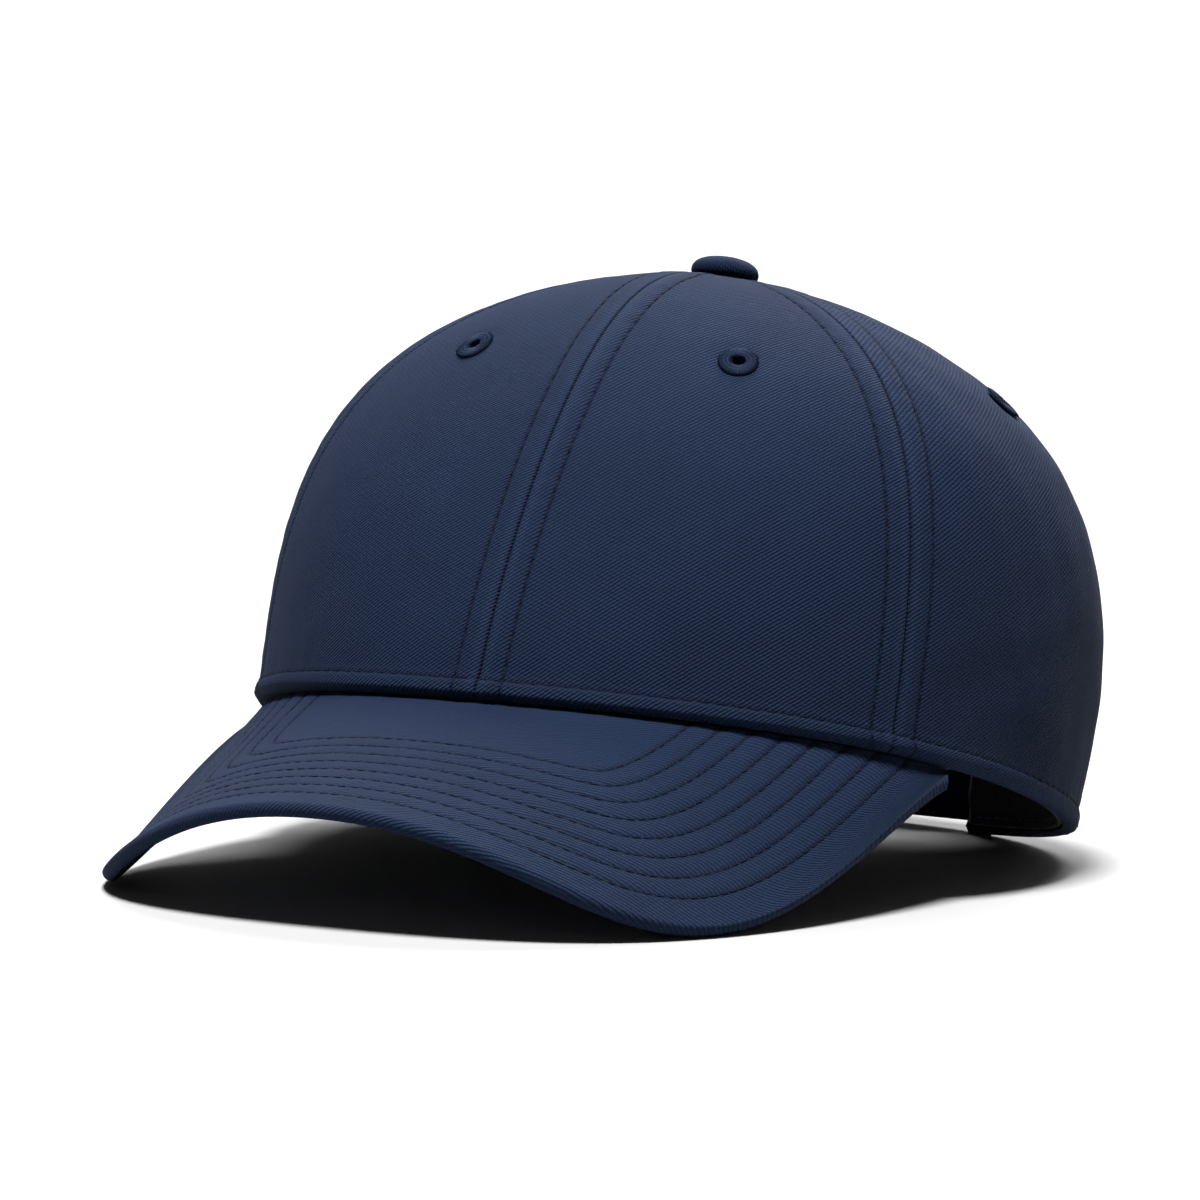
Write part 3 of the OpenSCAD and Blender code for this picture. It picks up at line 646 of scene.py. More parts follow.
lengths_wanted = [("Length", "NodeSocketFloat", 0.0026), ("Width", "NodeSocketFloat", 0.0005),
                  ("Height", "NodeSocketFloat", 0.0004), ("Seed", "NodeSocketInt", 1),
                  ("Material", "NodeSocketMaterial", None)]
stitch_tree = scatter_tree("lockstitch", stitch_shape, lengths_wanted)


def scatter(name, tree, points, along, out, material, sizes, seed):
    """Points of the cap frame, dressed by a tree and made one plain mesh."""
    mesh = bpy.data.meshes.new(name)
    mesh.from_pydata(place(points).tolist(), [], [])
    for label, vectors in (("along", along), ("out", out)):
        attribute = mesh.attributes.new(label, "FLOAT_VECTOR", "POINT")
        attribute.data.foreach_set("vector", tipped(vectors).astype(np.float32).ravel())
    holder = bpy.data.objects.new(name + "_points", mesh)
    bpy.context.scene.collection.objects.link(holder)
    modifier = holder.modifiers.new("scatter", "NODES")
    modifier.node_group = tree
    values = dict(zip(("Length", "Width", "Height"), (s / 1000 for s in sizes)), Seed=seed,
                  Material=material)
    for item in tree.interface.items_tree:
        if item.item_type == "SOCKET" and item.name in values:
            modifier[item.identifier] = values[item.name]
    bpy.context.view_layer.update()
    depsgraph = bpy.context.evaluated_depsgraph_get()
    result = bpy.data.meshes.new_from_object(holder.evaluated_get(depsgraph))
    result.name = name
    bpy.data.objects.remove(holder)
    obj = bpy.data.objects.new(name, result)
    bpy.context.scene.collection.objects.link(obj)
    return obj


def sew(name, rows, material, sizes, seed):
    """One mesh of stitches from rows of (points, outward directions, pitch)."""
    points, along, out = [], [], []
    for line, normal, pitch in rows:
        run = lengths(line)
        at = np.arange(pitch / 2, run[-1] - pitch / 3, pitch)

        def on_line(values):
            return np.stack([np.interp(at, run, values[:, k]) for k in range(3)], -1)

        ahead = unit(np.gradient(line, axis=0))
        points.append(on_line(line))
        along.append(unit(on_line(ahead)))
        out.append(unit(on_line(normal)))
    return scatter(name, stitch_tree, np.concatenate(points), np.concatenate(along),
                   np.concatenate(out), material, sizes, seed)


navy_thread = twisted_thread("navy_thread", thread_dark_painted_shade, thread_pale_painted_shade)
stitch_size = (2.75, 0.46, 0.4)
stitch_lift = 0.02
topstitch_end_r = 6.6
seam_rows, hem_rows = [], []
for grid in panel_grids.values():
    reach = np.hypot(grid["outer"][..., 0], grid["outer"][..., 1] + apex_forward)
    col = near_seam.index(topstitch_from_seam)
    for i in (col, grid["a"].shape[1] - 1 - col):
        on = (grid["up"][:, i] > 0.8) & (reach[:, i] > topstitch_end_r)
        clear = on & (arch_top(grid["a"][:, i]) < arch_h - 0.5)
        line = grid["outer"][clear, i] + stitch_lift * grid["normal"][clear, i]
        seam_rows.append((line, grid["normal"][clear, i], topstitch_pitch))
    j = near_hem.index(hemstitch_up)
    on = arch_top(grid["a"][j]) <= 0
    hem_rows.append((grid["outer"][j, on] + stitch_lift * grid["normal"][j, on], grid["normal"][j, on],
                     hemstitch_pitch))
for name, rows, seed in (("crown_topstitching", seam_rows, 11), ("hem_stitching", hem_rows, 12),
                         ("seam_tape_stitching", tape_rows, 13)):
    piece = sew(name, rows, navy_thread, stitch_size, seed)
    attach(piece, "cap")

# ---- Eyelets ----
# A hole is punched in each panel and closed round with buttonhole stitch: threads laid side by side
# from the hole outwards over a padded ring, on both faces of the cloth.

eyelet_hole_r = 1.4
eyelet_r = 4.4
eyelet_rise = 0.5
eyelet_threads = 46
ring_segments = 64


def turned_frame(axis):
    """Two directions square to an axis and to each other."""
    side = unit(np.cross(axis, [1.0, 0.0, 0.0]))
    return side, np.cross(axis, side)


def revolve(name, profile, centre, axis, material):
    """A closed ring or cap turned from (radius, height) points. A point at radius 0 is a pole."""
    side, other = turned_frame(axis)
    turn = np.arange(ring_segments) * 2 * math.pi / ring_segments
    spoke = np.cos(turn)[:, None] * side + np.sin(turn)[:, None] * other
    rings = [np.array(centre) + r * spoke + z * np.array(axis) for r, z in profile]
    points = place(np.concatenate(rings))
    count = len(profile)
    faces = []
    for k in range(count):
        below, above = k * ring_segments, (k + 1) % count * ring_segments
        for i in range(ring_segments):
            j = (i + 1) % ring_segments
            faces.append((below + i, below + j, above + j, above + i))
    mesh = bpy.data.meshes.new(name)
    mesh.from_pydata(points.tolist(), [], faces)
    work = bmesh.new()
    work.from_mesh(mesh)
    bmesh.ops.remove_doubles(work, verts=work.verts, dist=1e-6)
    bmesh.ops.recalc_face_normals(work, faces=work.faces)
    layer = work.loops.layers.uv.new("UVMap")
    middle, up = Vector(place(np.array(centre))), Vector(tipped(axis))
    right, ahead = Vector(tipped(side)), Vector(tipped(other))
    for face in work.faces:
        face.smooth = True
        for loop in face.loops:
            out = (loop.vert.co - middle) * 1000
            flat = out - up * out.dot(up)
            stretch = 1 + abs(out.dot(up)) / max(flat.length, 1)
            loop[layer].uv = (flat.dot(right) * stretch, flat.dot(ahead) * stretch)
    work.to_mesh(mesh)
    work.free()
    mesh.materials.append(material)
    obj = bpy.data.objects.new(name, mesh)
    bpy.context.scene.collection.objects.link(obj)
    return obj


ring_thread = twisted_thread("eyelet_thread", navy_deep, navy_rib)
half_ring = (eyelet_r - eyelet_hole_r) / 2
mid_ring = (eyelet_r + eyelet_hole_r) / 2
bead_turns = [math.radians(t) for t in range(0, 181, 18)]
thread_points, thread_along, thread_out = [], [], []
for part, (eye_a, eye_h) in eyelet_places.items():
    inside_d = 2.1 if part == "front" else 1.3
    for side, sign in panel_sides.items():
        a = np.array(sign * eye_a)
        f = elev(a, eye_h)
        centre, axis = crown(a, f), crown_normal(a, f)
        top = [(mid_ring + 0.92 * half_ring * math.cos(t), -0.15 + eyelet_rise * math.sin(t))
               for t in bead_turns]
        low = [(mid_ring - 0.8 * half_ring * math.cos(t), -inside_d - 0.25 - eyelet_rise * math.sin(t))
               for t in bead_turns]
        neck = [(eyelet_hole_r + 0.95, -inside_d), (eyelet_hole_r + 0.95, -0.3)]
        piece = revolve(f"eyelet_{part}_{side}_ring", top + low + neck, centre, axis, ring_thread)
        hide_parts(f"eyelet_{part}_{side}")
        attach(piece, "cap")
        right, ahead = turned_frame(axis)
        for face, level in ((1, 0.2), (-1, -inside_d - 0.55)):
            turn = (np.arange(eyelet_threads) + 0.5) * 2 * math.pi / eyelet_threads
            spoke = np.cos(turn)[:, None] * right + np.sin(turn)[:, None] * ahead
            thread_points.append(centre + mid_ring * spoke + level * axis)
            thread_along.append(spoke)
            thread_out.append(0 * spoke + face * axis)
threads = scatter("eyelet_buttonhole_stitch", stitch_tree, np.concatenate(thread_points),
                  np.concatenate(thread_along), np.concatenate(thread_out), ring_thread,
                  (2 * half_ring + 0.25, 0.44, 0.62), 21)
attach(threads, "cap")

# ---- Visor ----
# A moulded board between two covers of the same twill. The upper cover is turned over the board's
# edge, and eight rows of stitches, each the same way in from the last, hold all three together.

visor_end_a = math.radians(66)
visor_len = 63.8
visor_front_reach = 62.0
visor_side_reach = 78.8
visor_drop = 31.0
visor_curl = 151.0
visor_flare = 132.0
visor_sag = 5.0
root_tuck = 1.8
hem_gap = 0.4
visor_t = 3.3
visor_u = 0.985
cover_t = 0.75
visor_cols = 340
visor_rows = 112
stitch_rows = 8
first_row_in = 7.9
row_pitch = 5.26
visor_stitch_pitch = 2.85


def bezier(t, p):
    return (1 - t) ** 3 * p[0] + 3 * t * (1 - t) ** 2 * p[1] + 3 * t * t * (1 - t) * p[2] + t**3 * p[3]


def visor_edge(u):
    t, q = np.abs(u), u * u
    end = rim(np.array(visor_end_a))
    tip_y = -rim_front_len - visor_len
    x = np.sign(u) * bezier(t, (0, visor_front_reach, end[0], end[0]))
    y = bezier(t, (tip_y, tip_y, end[1] - visor_side_reach, end[1]))
    z = end[2] * q - (1 - q) * (visor_drop + visor_curl * q - visor_flare * q * q)
    return np.stack([x, y, z], -1)


def visor_root(u):
    a = visor_end_a * np.sign(u) * np.abs(u) ** 0.75
    return skin(a, 0 * a, root_tuck + 0 * a) - np.array([0, 0, hem_gap])


def visor(u, s):
    """Point of the visor's upper face, from its root at s = 0 to its edge at s = 1."""
    u, s = np.broadcast_arrays(u, s)
    p = visor_root(u) * (1 - s[..., None]) + (visor_edge(u) - np.array([0, 0, hem_gap])) * s[..., None]
    p[..., 2] -= visor_sag * u * u * (1 - u * u) * 4 * s * (1 - s)
    return p


def visor_normal(u, s):
    u, s = np.broadcast_arrays(u, s)
    step = 0.01
    across = visor(np.minimum(u + step, 1), s) - visor(np.maximum(u - step, -1), s)
    return unit(np.cross(across, visor(u, 0 * s) - visor(u, 0 * s + 1)))


fine_u = np.linspace(-visor_u, visor_u, 2001)
edge_run = lengths(visor(fine_u, np.ones_like(fine_u)))
root_run = lengths(visor(fine_u, np.zeros_like(fine_u)))
both_run = edge_run / edge_run[-1] + 0.35 * root_run / root_run[-1]
cols_u = np.interp(np.linspace(0, both_run[-1], visor_cols), both_run, fine_u)
edge_line = visor(fine_u[::4], np.ones(len(fine_u[::4])))


def from_edge(p):
    """Distance of points to the visor's edge."""
    flat = p.reshape(-1, 3)
    near = [np.sqrt(((part[:, None] - edge_line[None]) ** 2).sum(-1).min(1))
            for part in np.array_split(flat, 80)]
    return np.concatenate(near).reshape(p.shape[:-1])


def visor_relief(edge_d, along):
    """Grooves of the stitch rows and the slight puff of cloth between them."""
    row_at = (edge_d - first_row_in) / row_pitch
    nearest = np.clip(np.round(row_at), 0, stitch_rows - 1)
    off = (row_at - nearest) * row_pitch
    beat = 0.7 + 0.3 * np.cos(2 * math.pi * along / visor_stitch_pitch + 1.7 * nearest)
    between = (row_at > 0) & (row_at < stitch_rows - 1)
    puff = np.where(between, 0.1 * np.sin(math.pi * row_at) ** 2, 0)
    return 0.26 * hump(off, 0, 0.55) * beat - puff + 0.05 * waves(along, edge_d, 9, 61)


def cover_uv(p):
    """Cloth laid flat across the visor: run across it and run from back to front."""
    step = np.hypot(np.diff(p[..., 0], axis=1), np.diff(p[..., 2], axis=1))
    run = np.concatenate([np.zeros((len(p), 1)), np.cumsum(step, 1)], 1)
    middle = (run[:, visor_cols // 2 - 1:visor_cols // 2 + 1]).mean(1)
    return np.stack([run - middle[:, None], 1.08 * p[..., 1]], -1)


visor_twill = twill("visor_twill", navy_deep, navy_rib, navy_worn)
span = np.linalg.norm(visor(cols_u, np.ones(visor_cols)) - visor(cols_u, np.zeros(visor_cols)), axis=-1)
lip_r = visor_t / 2
lip_s = 1 - np.minimum(lip_r / span, 0.6)
lip_turns = np.radians(np.linspace(-85, 90, 15))[:, None, None]
lip_at = visor(cols_u, lip_s)
lip_normal = visor_normal(cols_u, lip_s)
outward = visor(cols_u, np.ones(visor_cols)) - visor(cols_u, np.zeros(visor_cols))
outward = unit(outward - (outward * lip_normal).sum(-1, keepdims=True) * lip_normal)
lip_centre = lip_at - lip_r * lip_normal


def lip(r):
    return lip_centre + r * (np.cos(lip_turns) * outward + np.sin(lip_turns) * lip_normal)


flat_share = np.linspace(1, 0, visor_rows)[1:, None]
flat_s = lip_s[None] * flat_share
flat_at = visor(cols_u[None], flat_s)
flat_normal = visor_normal(cols_u[None], flat_s)
flat_edge_d = from_edge(flat_at)
flat_along = lengths(flat_at)
flat_d = visor_relief(flat_edge_d, flat_along) * ease((flat_edge_d - 1.5) / 3)
outer = np.concatenate([lip(lip_r), flat_at - flat_d[..., None] * flat_normal])
flat_inner_d = cover_t + np.maximum(flat_d, 0)
inner = np.concatenate([lip(lip_r - cover_t), flat_at - flat_inner_d[..., None] * flat_normal])
# The lip is rubbed pale as real wear; the stitch rows get painted shade
lip_wear = hump(np.degrees(lip_turns[..., 0]) + 0 * lip_at[None, :, 0], 25, 45)
row_groove_shade = sum(hump(flat_edge_d, first_row_in + k * row_pitch, 0.45) for k in range(stitch_rows))
wear_and_groove_shade = np.concatenate([0.5 * lip_wear, -0.7 * row_groove_shade])
# The cloth keeps its weave as it rolls over the lip
uv = cover_uv(outer)
lip_rows = len(lip_turns)
across_way = np.gradient(lip_at, axis=0) * np.array([1.0, 0.0, 1.0])
roll_way = np.stack([(outward * unit(across_way)).sum(-1), 1.08 * outward[:, 1]], -1)
uv[:lip_rows] = uv[lip_rows - 1] + lip_r * (math.pi / 2 - lip_turns) * roll_way
piece = cloth_shell("visor_top_cover_cloth", outer, inner, uv, wear_and_groove_shade, visor_twill)
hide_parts("visor_top_cover")
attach(piece, "cap")

under_cols = slice(None, None, 2)
under_u = cols_u[under_cols]
under_s = (lip_s[under_cols] - 0.35 / span[under_cols])[None] * np.linspace(1, 0, 86)[:, None]
under_at = visor(under_u[None], under_s)
under_normal = visor_normal(under_u[None], under_s)
under_edge_d = from_edge(under_at)
under_d = visor_relief(under_edge_d, lengths(under_at)) * ease((under_edge_d - 1.5) / 3)
under_round = 0.4 * hump(under_edge_d, lip_r + 0.3, 0.5)
low_face = under_at - (visor_t - under_d - under_round)[..., None] * under_normal
high_face = under_at - (visor_t - cover_t - np.maximum(under_d, 0) - 0.4)[..., None] * under_normal
under_twill = twill("visor_under_twill", navy_deep, navy_rib, navy_worn)
x_run = lengths(np.stack([under_at[..., 0], 0 * under_at[..., 0], under_at[..., 2]], -1))
x_run = x_run - x_run[:, x_run.shape[1] // 2][:, None]
under_uv = np.stack([-x_run, 1.08 * under_at[..., 1]], -1)
piece = cloth_shell("visor_under_cover_cloth", low_face[:, ::-1], high_face[:, ::-1], under_uv[:, ::-1],
                    0 * under_edge_d, under_twill)
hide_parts("visor_under_cover")
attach(piece, "cap")

upper_rows, lower_rows = [], []
for k in range(stitch_rows):
    wanted = first_row_in + k * row_pitch
    inside = flat_edge_d >= wanted
    crosses = ~inside[:-1] & inside[1:]
    found = crosses.any(0)
    j = crosses.argmax(0)
    cols = np.arange(visor_cols)
    near, far = flat_edge_d[j, cols], flat_edge_d[j + 1, cols]
    share = np.clip((wanted - near) / np.maximum(far - near, 1e-6), 0, 1)
    s_here = flat_s[j, cols] * (1 - share) + flat_s[j + 1, cols] * share
    first, last = np.flatnonzero(found)[[0, -1]]
    u_here, s_here = cols_u[first:last + 1], s_here[first:last + 1]
    line, normal = visor(u_here, s_here), visor_normal(u_here, s_here)
    upper_rows.append((line - (0.16 - stitch_lift) * normal, normal, visor_stitch_pitch))
    lower_rows.append((line - (visor_t - 0.12) * normal, -normal, visor_stitch_pitch))
for name, rows, seed in (("visor_top_stitching", upper_rows, 31),
                         ("visor_under_stitching", lower_rows, 32)):
    piece = sew(name, rows, navy_thread, (2.3, 0.46, 0.4), seed)
    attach(piece, "cap")

# ---- Visor board ----
# One sheet of moulded polyethylene inside the two covers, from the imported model. Its matt skin has
# the fine texture of the mould.


def moulded_plastic(name, dark, light):
    n = Nodes(name)
    place_at = n.node("ShaderNodeTexCoord").outputs["Object"]
    grain = n.noise(place_at, 1800.0, 4.0, 0.6)
    cloud = n.noise(place_at, 45.0, 3.0)
    tone = n.math("ADD", n.math("MULTIPLY", grain, 0.5), n.math("MULTIPLY", cloud, 0.5))
    colour = n.mix(tone, dark, light)
    rough = n.math("ADD", n.math("MULTIPLY", grain, 0.25), 0.4)
    return n.finish(colour, rough, n.bump(grain, 0.0001, 0.5))


def dress(node, material):
    """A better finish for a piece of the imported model, whose mesh stays as it is."""
    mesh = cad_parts[node].data
    mesh.materials.clear()
    mesh.materials.append(material)


dress("visor_board", moulded_plastic("board_plastic", (0.02, 0.021, 0.023, 1), (0.045, 0.046, 0.05, 1)))

# ---- Button ----
# A pressed steel shell covered with a disc of the twill, whose edge is gathered in small pleats
# underneath. A rivet through the crown's top ends in the shell and holds a washer inside.

button_r = 7.3
button_h = 5.0
button_foot = 0.2
button_pleats = 22
button_rings = 30


def brushed_steel(name):
    n = Nodes(name)
    place_at = n.node("ShaderNodeTexCoord").outputs["Object"]
    drawn_out = n.node("ShaderNodeMapping", Vector=place_at, Scale=(900, 900, 9000)).outputs[0]
    scratch = n.noise(drawn_out, 1.0, 3.0)
    stain = n.noise(place_at, 400.0, 3.0)
    colour = n.mix(n.math("MULTIPLY", stain, 0.6), (0.55, 0.56, 0.58, 1), (0.36, 0.36, 0.37, 1))
    rough = n.math("ADD", n.math("MULTIPLY", scratch, 0.3), 0.22)
    n.shader.inputs["Metallic"].default_value = 1.0
    return n.finish(colour, rough, n.bump(scratch, 0.00004, 0.5))


steel = brushed_steel("pressed_steel")
for node in ("button_shell", "button_rivet", "button_washer"):
    dress(node, steel)

button_twill = twill("button_twill", navy_deep, navy_rib, navy_worn, math.radians(25))
cap_axis = np.array([0.0, 0.0, 1.0])
apex = np.array([0, -apex_forward, crown_h])
side_turns = np.radians(np.linspace(-70, 90, button_rings))
waist = 1.9
profile = [(0.0, button_foot), (4.5, button_foot)]
for t in side_turns[:-1]:
    if t < 0:
        reach = button_r - waist * 0.75 * (1 - math.cos(t))
        profile.append((reach, button_foot + waist + waist * math.sin(t)))
    else:
        rise = (button_h - waist) * math.sin(t) ** 0.95
        profile.append((button_r * math.cos(t) ** 0.82, button_foot + waist + rise))
profile.append((0.0, button_foot + button_h))
button = revolve("button_cover_cloth", profile, apex, cap_axis, button_twill)
button_middle = place(apex)
rng = np.random.default_rng(5)
pleat_turns = rng.uniform(-0.6, 0.6, button_pleats)
for vertex in button.data.vertices:
    out = (np.array(vertex.co) - button_middle) * 1000
    level = float(out @ up_axis)
    flat = out - level * up_axis
    angle = math.atan2(flat[0], -flat[1])
    nearest = int((angle / (2 * math.pi) + 0.5) * (button_pleats - 1))
    pleat = math.sin(button_pleats * angle + pleat_turns[nearest])
    low = math.exp(-((level - 0.8) / 1.3) ** 2)
    soft = 0.05 * math.sin(3 * angle + 1) * math.exp(-((level - 3.5) / 2) ** 2)
    grow = 1 + (0.02 * pleat * low + 0.1 * soft)
    vertex.co = Vector(button_middle + (flat * grow + level * up_axis) / 1000)
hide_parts("button_cover")
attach(button, "cap")

# ---- Sweatband ----
# A black wicking band round the inside of the rim. It is sewn to the hem along its lower edge and
# folded up against the crown, with its top edge turned over and stitched.

band_t = 1.1
band_d = 4.2
band_start_d = 2.75
band_end_a = math.pi - arch_half_a - math.radians(0.6)
band_hemstitch_up = 2.7
band_topstitch_up = 26.6
band_step = 1.25


def wicking_knit(name):
    """Fine black knit with rows of small pores, soft and slightly glossy."""
    n = Nodes(name)
    at = n.node("ShaderNodeUVMap").outputs[0]
    place_at = n.node("ShaderNodeTexCoord").outputs["Object"]
    pores = n.node("ShaderNodeTexVoronoi", Vector=at, Scale=0.95)
    pore = n.math("MINIMUM", n.math("MULTIPLY", pores.outputs["Distance"], 1.8), 1.0)
    part = n.node("ShaderNodeSeparateXYZ", Vector=at)
    course = n.math("ABSOLUTE", n.math("SINE", n.math("MULTIPLY", part.outputs[1], math.pi / 0.55)))
    fuzz = n.noise(place_at, 4200.0, 3.0, 0.7)
    stitch = n.math("MULTIPLY", pore, course)
    tone = n.math("ADD", n.math("MULTIPLY", stitch, 0.6), n.math("MULTIPLY", fuzz, 0.4))
    colour = n.mix(tone, black_deep, black_raised)
    colour = n.mix(n.math("MULTIPLY", n.noise(place_at, 55.0, 3.0), 0.35), colour, black_deep)
    relief = n.math("ADD", pore, n.math("MULTIPLY", course, 0.4))
    normal = n.bump(relief, 0.00014, 0.8, n.bump(fuzz, 0.00006, 0.6))
    return n.finish(colour, n.math("ADD", n.math("MULTIPLY", fuzz, 0.2), 0.66), normal, 0.12)


band_knit = wicking_knit("sweatband_knit")
girth = lengths(rim(np.linspace(-band_end_a, band_end_a, 800)))
band_cols = int(girth[-1] / band_step)
band_a = np.interp(np.linspace(0, girth[-1], band_cols), girth, np.linspace(-band_end_a, band_end_a, 800))
band_up = np.array([0.35, 0.6, 0.9, 1.3, 1.8, 2.3, band_hemstitch_up, 3.1, 3.6, 4.2]
                   + list(np.arange(5, 25.5, 1.2))
                   + [25.6, 26.2, band_topstitch_up, 27, 27.6, 28.3, 28.9, 29.3, 29.6, 29.8])
a = band_a[None] + 0 * band_up[:, None]
f = elev(a, band_up[:, None])
run = np.linspace(0, girth[-1], band_cols)[None] + 0 * a
up = band_up[:, None] + 0 * a
normal = crown_normal(a, f)
slack = 0.28 * waves(run, up, 34, 71) * ease((up - 4) / 6) * ease((29 - up) / 6)
band_face = band_start_d + (band_d - band_start_d) * ease((up - 1.5) / 7) - 0.5 * ease((up - 22) / 7)
band_face = band_face + slack + 0.2 * hump(up, band_hemstitch_up, 0.6)
turned_edge = 0.35 * (ease((up - 25.2) / 0.8) - 0.9 * hump(up, band_topstitch_up, 0.45))
end_round = rounded(29.8 - up, 0.5) + rounded(up - 0.35, 0.5)
# Over the visor the band's lower edge reaches down behind the visor's root and closes the joint
drop = 1.7 * (1 - ease((up - 0.35) / 1.6)) * ease((visor_end_a + 0.03 - np.abs(a)) / 0.06)
wall = crown(a, f) - drop[..., None] * cap_axis
outer = wall - (band_face + end_round)[..., None] * normal
inner_d = band_face + band_t + turned_edge - end_round - 0.15 * hump(up, band_hemstitch_up, 0.5)
inner = wall - inner_d[..., None] * normal
piece = cloth_shell("sweatband_cloth", outer, inner, np.stack([run, up], -1), 0 * run, band_knit)
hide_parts("sweatband")
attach(piece, "cap")
band_rows = [(inner[k], -normal[k], hemstitch_pitch)
             for k in (list(band_up).index(band_hemstitch_up), list(band_up).index(band_topstitch_up))]
band_thread = twisted_thread("band_thread", (0.02, 0.032, 0.07, 1), (0.09, 0.125, 0.22, 1))
piece = sew("sweatband_stitching", band_rows, band_thread, stitch_size, 41)
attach(piece, "cap")

# ---- Forehead foam ----
# A strip of thin open-cell foam lies between the buckram and the sweatband across the forehead.
# It is glued down flat and feels like a slim pad.

foam_t = 1.1
foam_low = 5.5
foam_high = 25.0
foam_end_a = math.radians(60)


def open_cell_foam(name):
    n = Nodes(name)
    place_at = n.node("ShaderNodeTexCoord").outputs["Object"]
    cells = n.node("ShaderNodeTexVoronoi", Vector=place_at, Scale=1600.0)
    cell = n.math("MINIMUM", n.math("MULTIPLY", cells.outputs["Distance"], 1.7), 1.0)
    colour = n.mix(cell, (0.5, 0.5, 0.47, 1), (0.24, 0.24, 0.23, 1))
    return n.finish(colour, 0.92, n.bump(cell, -0.0002, 0.8))


a = np.linspace(-foam_end_a, foam_end_a, 150)[None] + 0 * np.arange(16)[:, None]
up = np.linspace(foam_low, foam_high, 16)[:, None] + 0 * a
f = elev(a, up)
normal = crown_normal(a, f)
side_in = np.minimum(foam_end_a - np.abs(a), 0.05) / 0.05
end_in = np.minimum(np.minimum(up - foam_low, foam_high - up) / 2, 1)
crowned = np.sqrt(np.clip(end_in * 0.9 + 0.1, 0, 1)) * (0.4 + 0.6 * side_in)
middle_d = 3.45
band_back_d = band_start_d + (band_d - band_start_d) * ease((up - 1.5) / 7)
foam_half = np.minimum(foam_t / 2 * crowned, band_back_d + 0.1 - middle_d + foam_t)
outer = crown(a, f) - (middle_d - foam_half)[..., None] * normal
inner = crown(a, f) - (middle_d + foam_half)[..., None] * normal
foam = cloth_shell("forehead_foam_pad", outer, inner, np.stack([a * 90, up], -1), 0 * a,
                   open_cell_foam("forehead_foam_cells"))
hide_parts("forehead_foam")
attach(foam, "cap")

# ---- Arch binding ----
# A bias tape of the twill is folded over the raw edge of the back opening and stitched through, so
# it shows as a rounded border inside and out.

binding_inside = 2.7
binding_over = 5.2
binding_steps = 150
binding_stitch_in = 3.6


def arch_place(t):
    a = math.pi - arch_half_a * np.cos(t)
    return a, elev(a, arch_h * np.sin(t))


def arch_edge(t):
    a, f = arch_place(t)
    return crown(a, f)


t = np.linspace(0.0, math.pi, binding_steps)
arch_run = lengths(arch_edge(np.linspace(0, math.pi, 1200)))
t = np.interp(np.linspace(0, arch_run[-1], binding_steps), arch_run, np.linspace(0, math.pi, 1200))
a, f = arch_place(t)
normal = crown_normal(a, f)
tangent = unit(np.gradient(arch_edge(t), axis=0))
inward = unit(np.cross(tangent, normal))
# The fold's section as (distance into the opening, depth below the crown's face), from the outer
# leg's edge round the fold to the inner leg's edge and back along the fold's inside
fold_turns = np.radians(np.linspace(90, -90, 13))
fold_mid_d = 1.0
fold_half = 1.75
section = [(-binding_over, 0.0), (-binding_over + 0.25, -0.42), (-binding_over + 0.9, -0.6),
           (-binding_stitch_in - 0.5, -0.62), (-binding_stitch_in, -0.42),
           (-binding_stitch_in + 0.5, -0.64), (-1.6, -0.72)]
fold_from = binding_inside - fold_half - 0.6
section += [(fold_from + fold_half * math.cos(v), fold_mid_d - fold_half * math.sin(v)) for v in fold_turns]
section += [(-1.6, 2.72), (-binding_stitch_in, 2.4), (-binding_over + 0.9, 2.5), (-binding_over, 2.2),
            (-binding_over, 1.6), (-1.2, 1.3), (-0.6, 0.9), (-1.2, 0.5)]
section = np.array(section)
pucker = 1 + 0.05 * waves(np.linspace(0, arch_run[-1], binding_steps), 0 * t, 6, 81)
ring = (arch_edge(t)[:, None] + section[None, :, :1] * inward[:, None]
        - (section[None, :, 1:] * pucker[:, None, None]) * normal[:, None])
ring_count = len(section)
points = place(ring.reshape(-1, 3))
faces = []
for k in range(binding_steps - 1):
    for i in range(ring_count):
        j = (i + 1) % ring_count
        near, far = k * ring_count, (k + 1) * ring_count
        faces.append((near + i, far + i, far + j, near + j))
faces.append(tuple(range(ring_count)))
faces.append(tuple(reversed(range((binding_steps - 1) * ring_count, binding_steps * ring_count))))
mesh = bpy.data.meshes.new("back_arch_binding_tape")
mesh.from_pydata(points.tolist(), [], faces)
work = bmesh.new()
work.from_mesh(mesh)
bmesh.ops.recalc_face_normals(work, faces=work.faces)
layer = work.loops.layers.uv.new("UVMap")
section_run = np.concatenate([[0], np.cumsum(np.linalg.norm(np.diff(section, axis=0), axis=1))])
work.verts.ensure_lookup_table()
for face in work.faces:
    face.smooth = len(face.verts) == 4
    for loop in face.loops:
        k, i = divmod(loop.vert.index, ring_count)
        loop[layer].uv = (section_run[i], k / binding_steps * arch_run[-1])
work.to_mesh(mesh)
work.free()
binding_twill = twill("binding_twill", navy_deep, navy_rib, navy_worn, math.radians(8))
mesh.materials.append(binding_twill)
binding = bpy.data.objects.new("back_arch_binding_tape", mesh)
bpy.context.scene.collection.objects.link(binding)
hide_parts("back_arch_binding")
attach(binding, "cap")
stitch_at = arch_edge(t) - binding_stitch_in * inward
piece = sew("back_arch_stitching", [(stitch_at + 0.5 * normal, normal, topstitch_pitch),
                                    (stitch_at - 2.5 * normal, -normal, topstitch_pitch)],
            navy_thread, stitch_size, 42)
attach(piece, "cap")

# ---- Straps ----
# Two straps of doubled twill, sewn under the binding at each foot of the arch. The outer one, from
# the wearer's right, closes over the inner one. Each has a round end and a row of edge stitching.

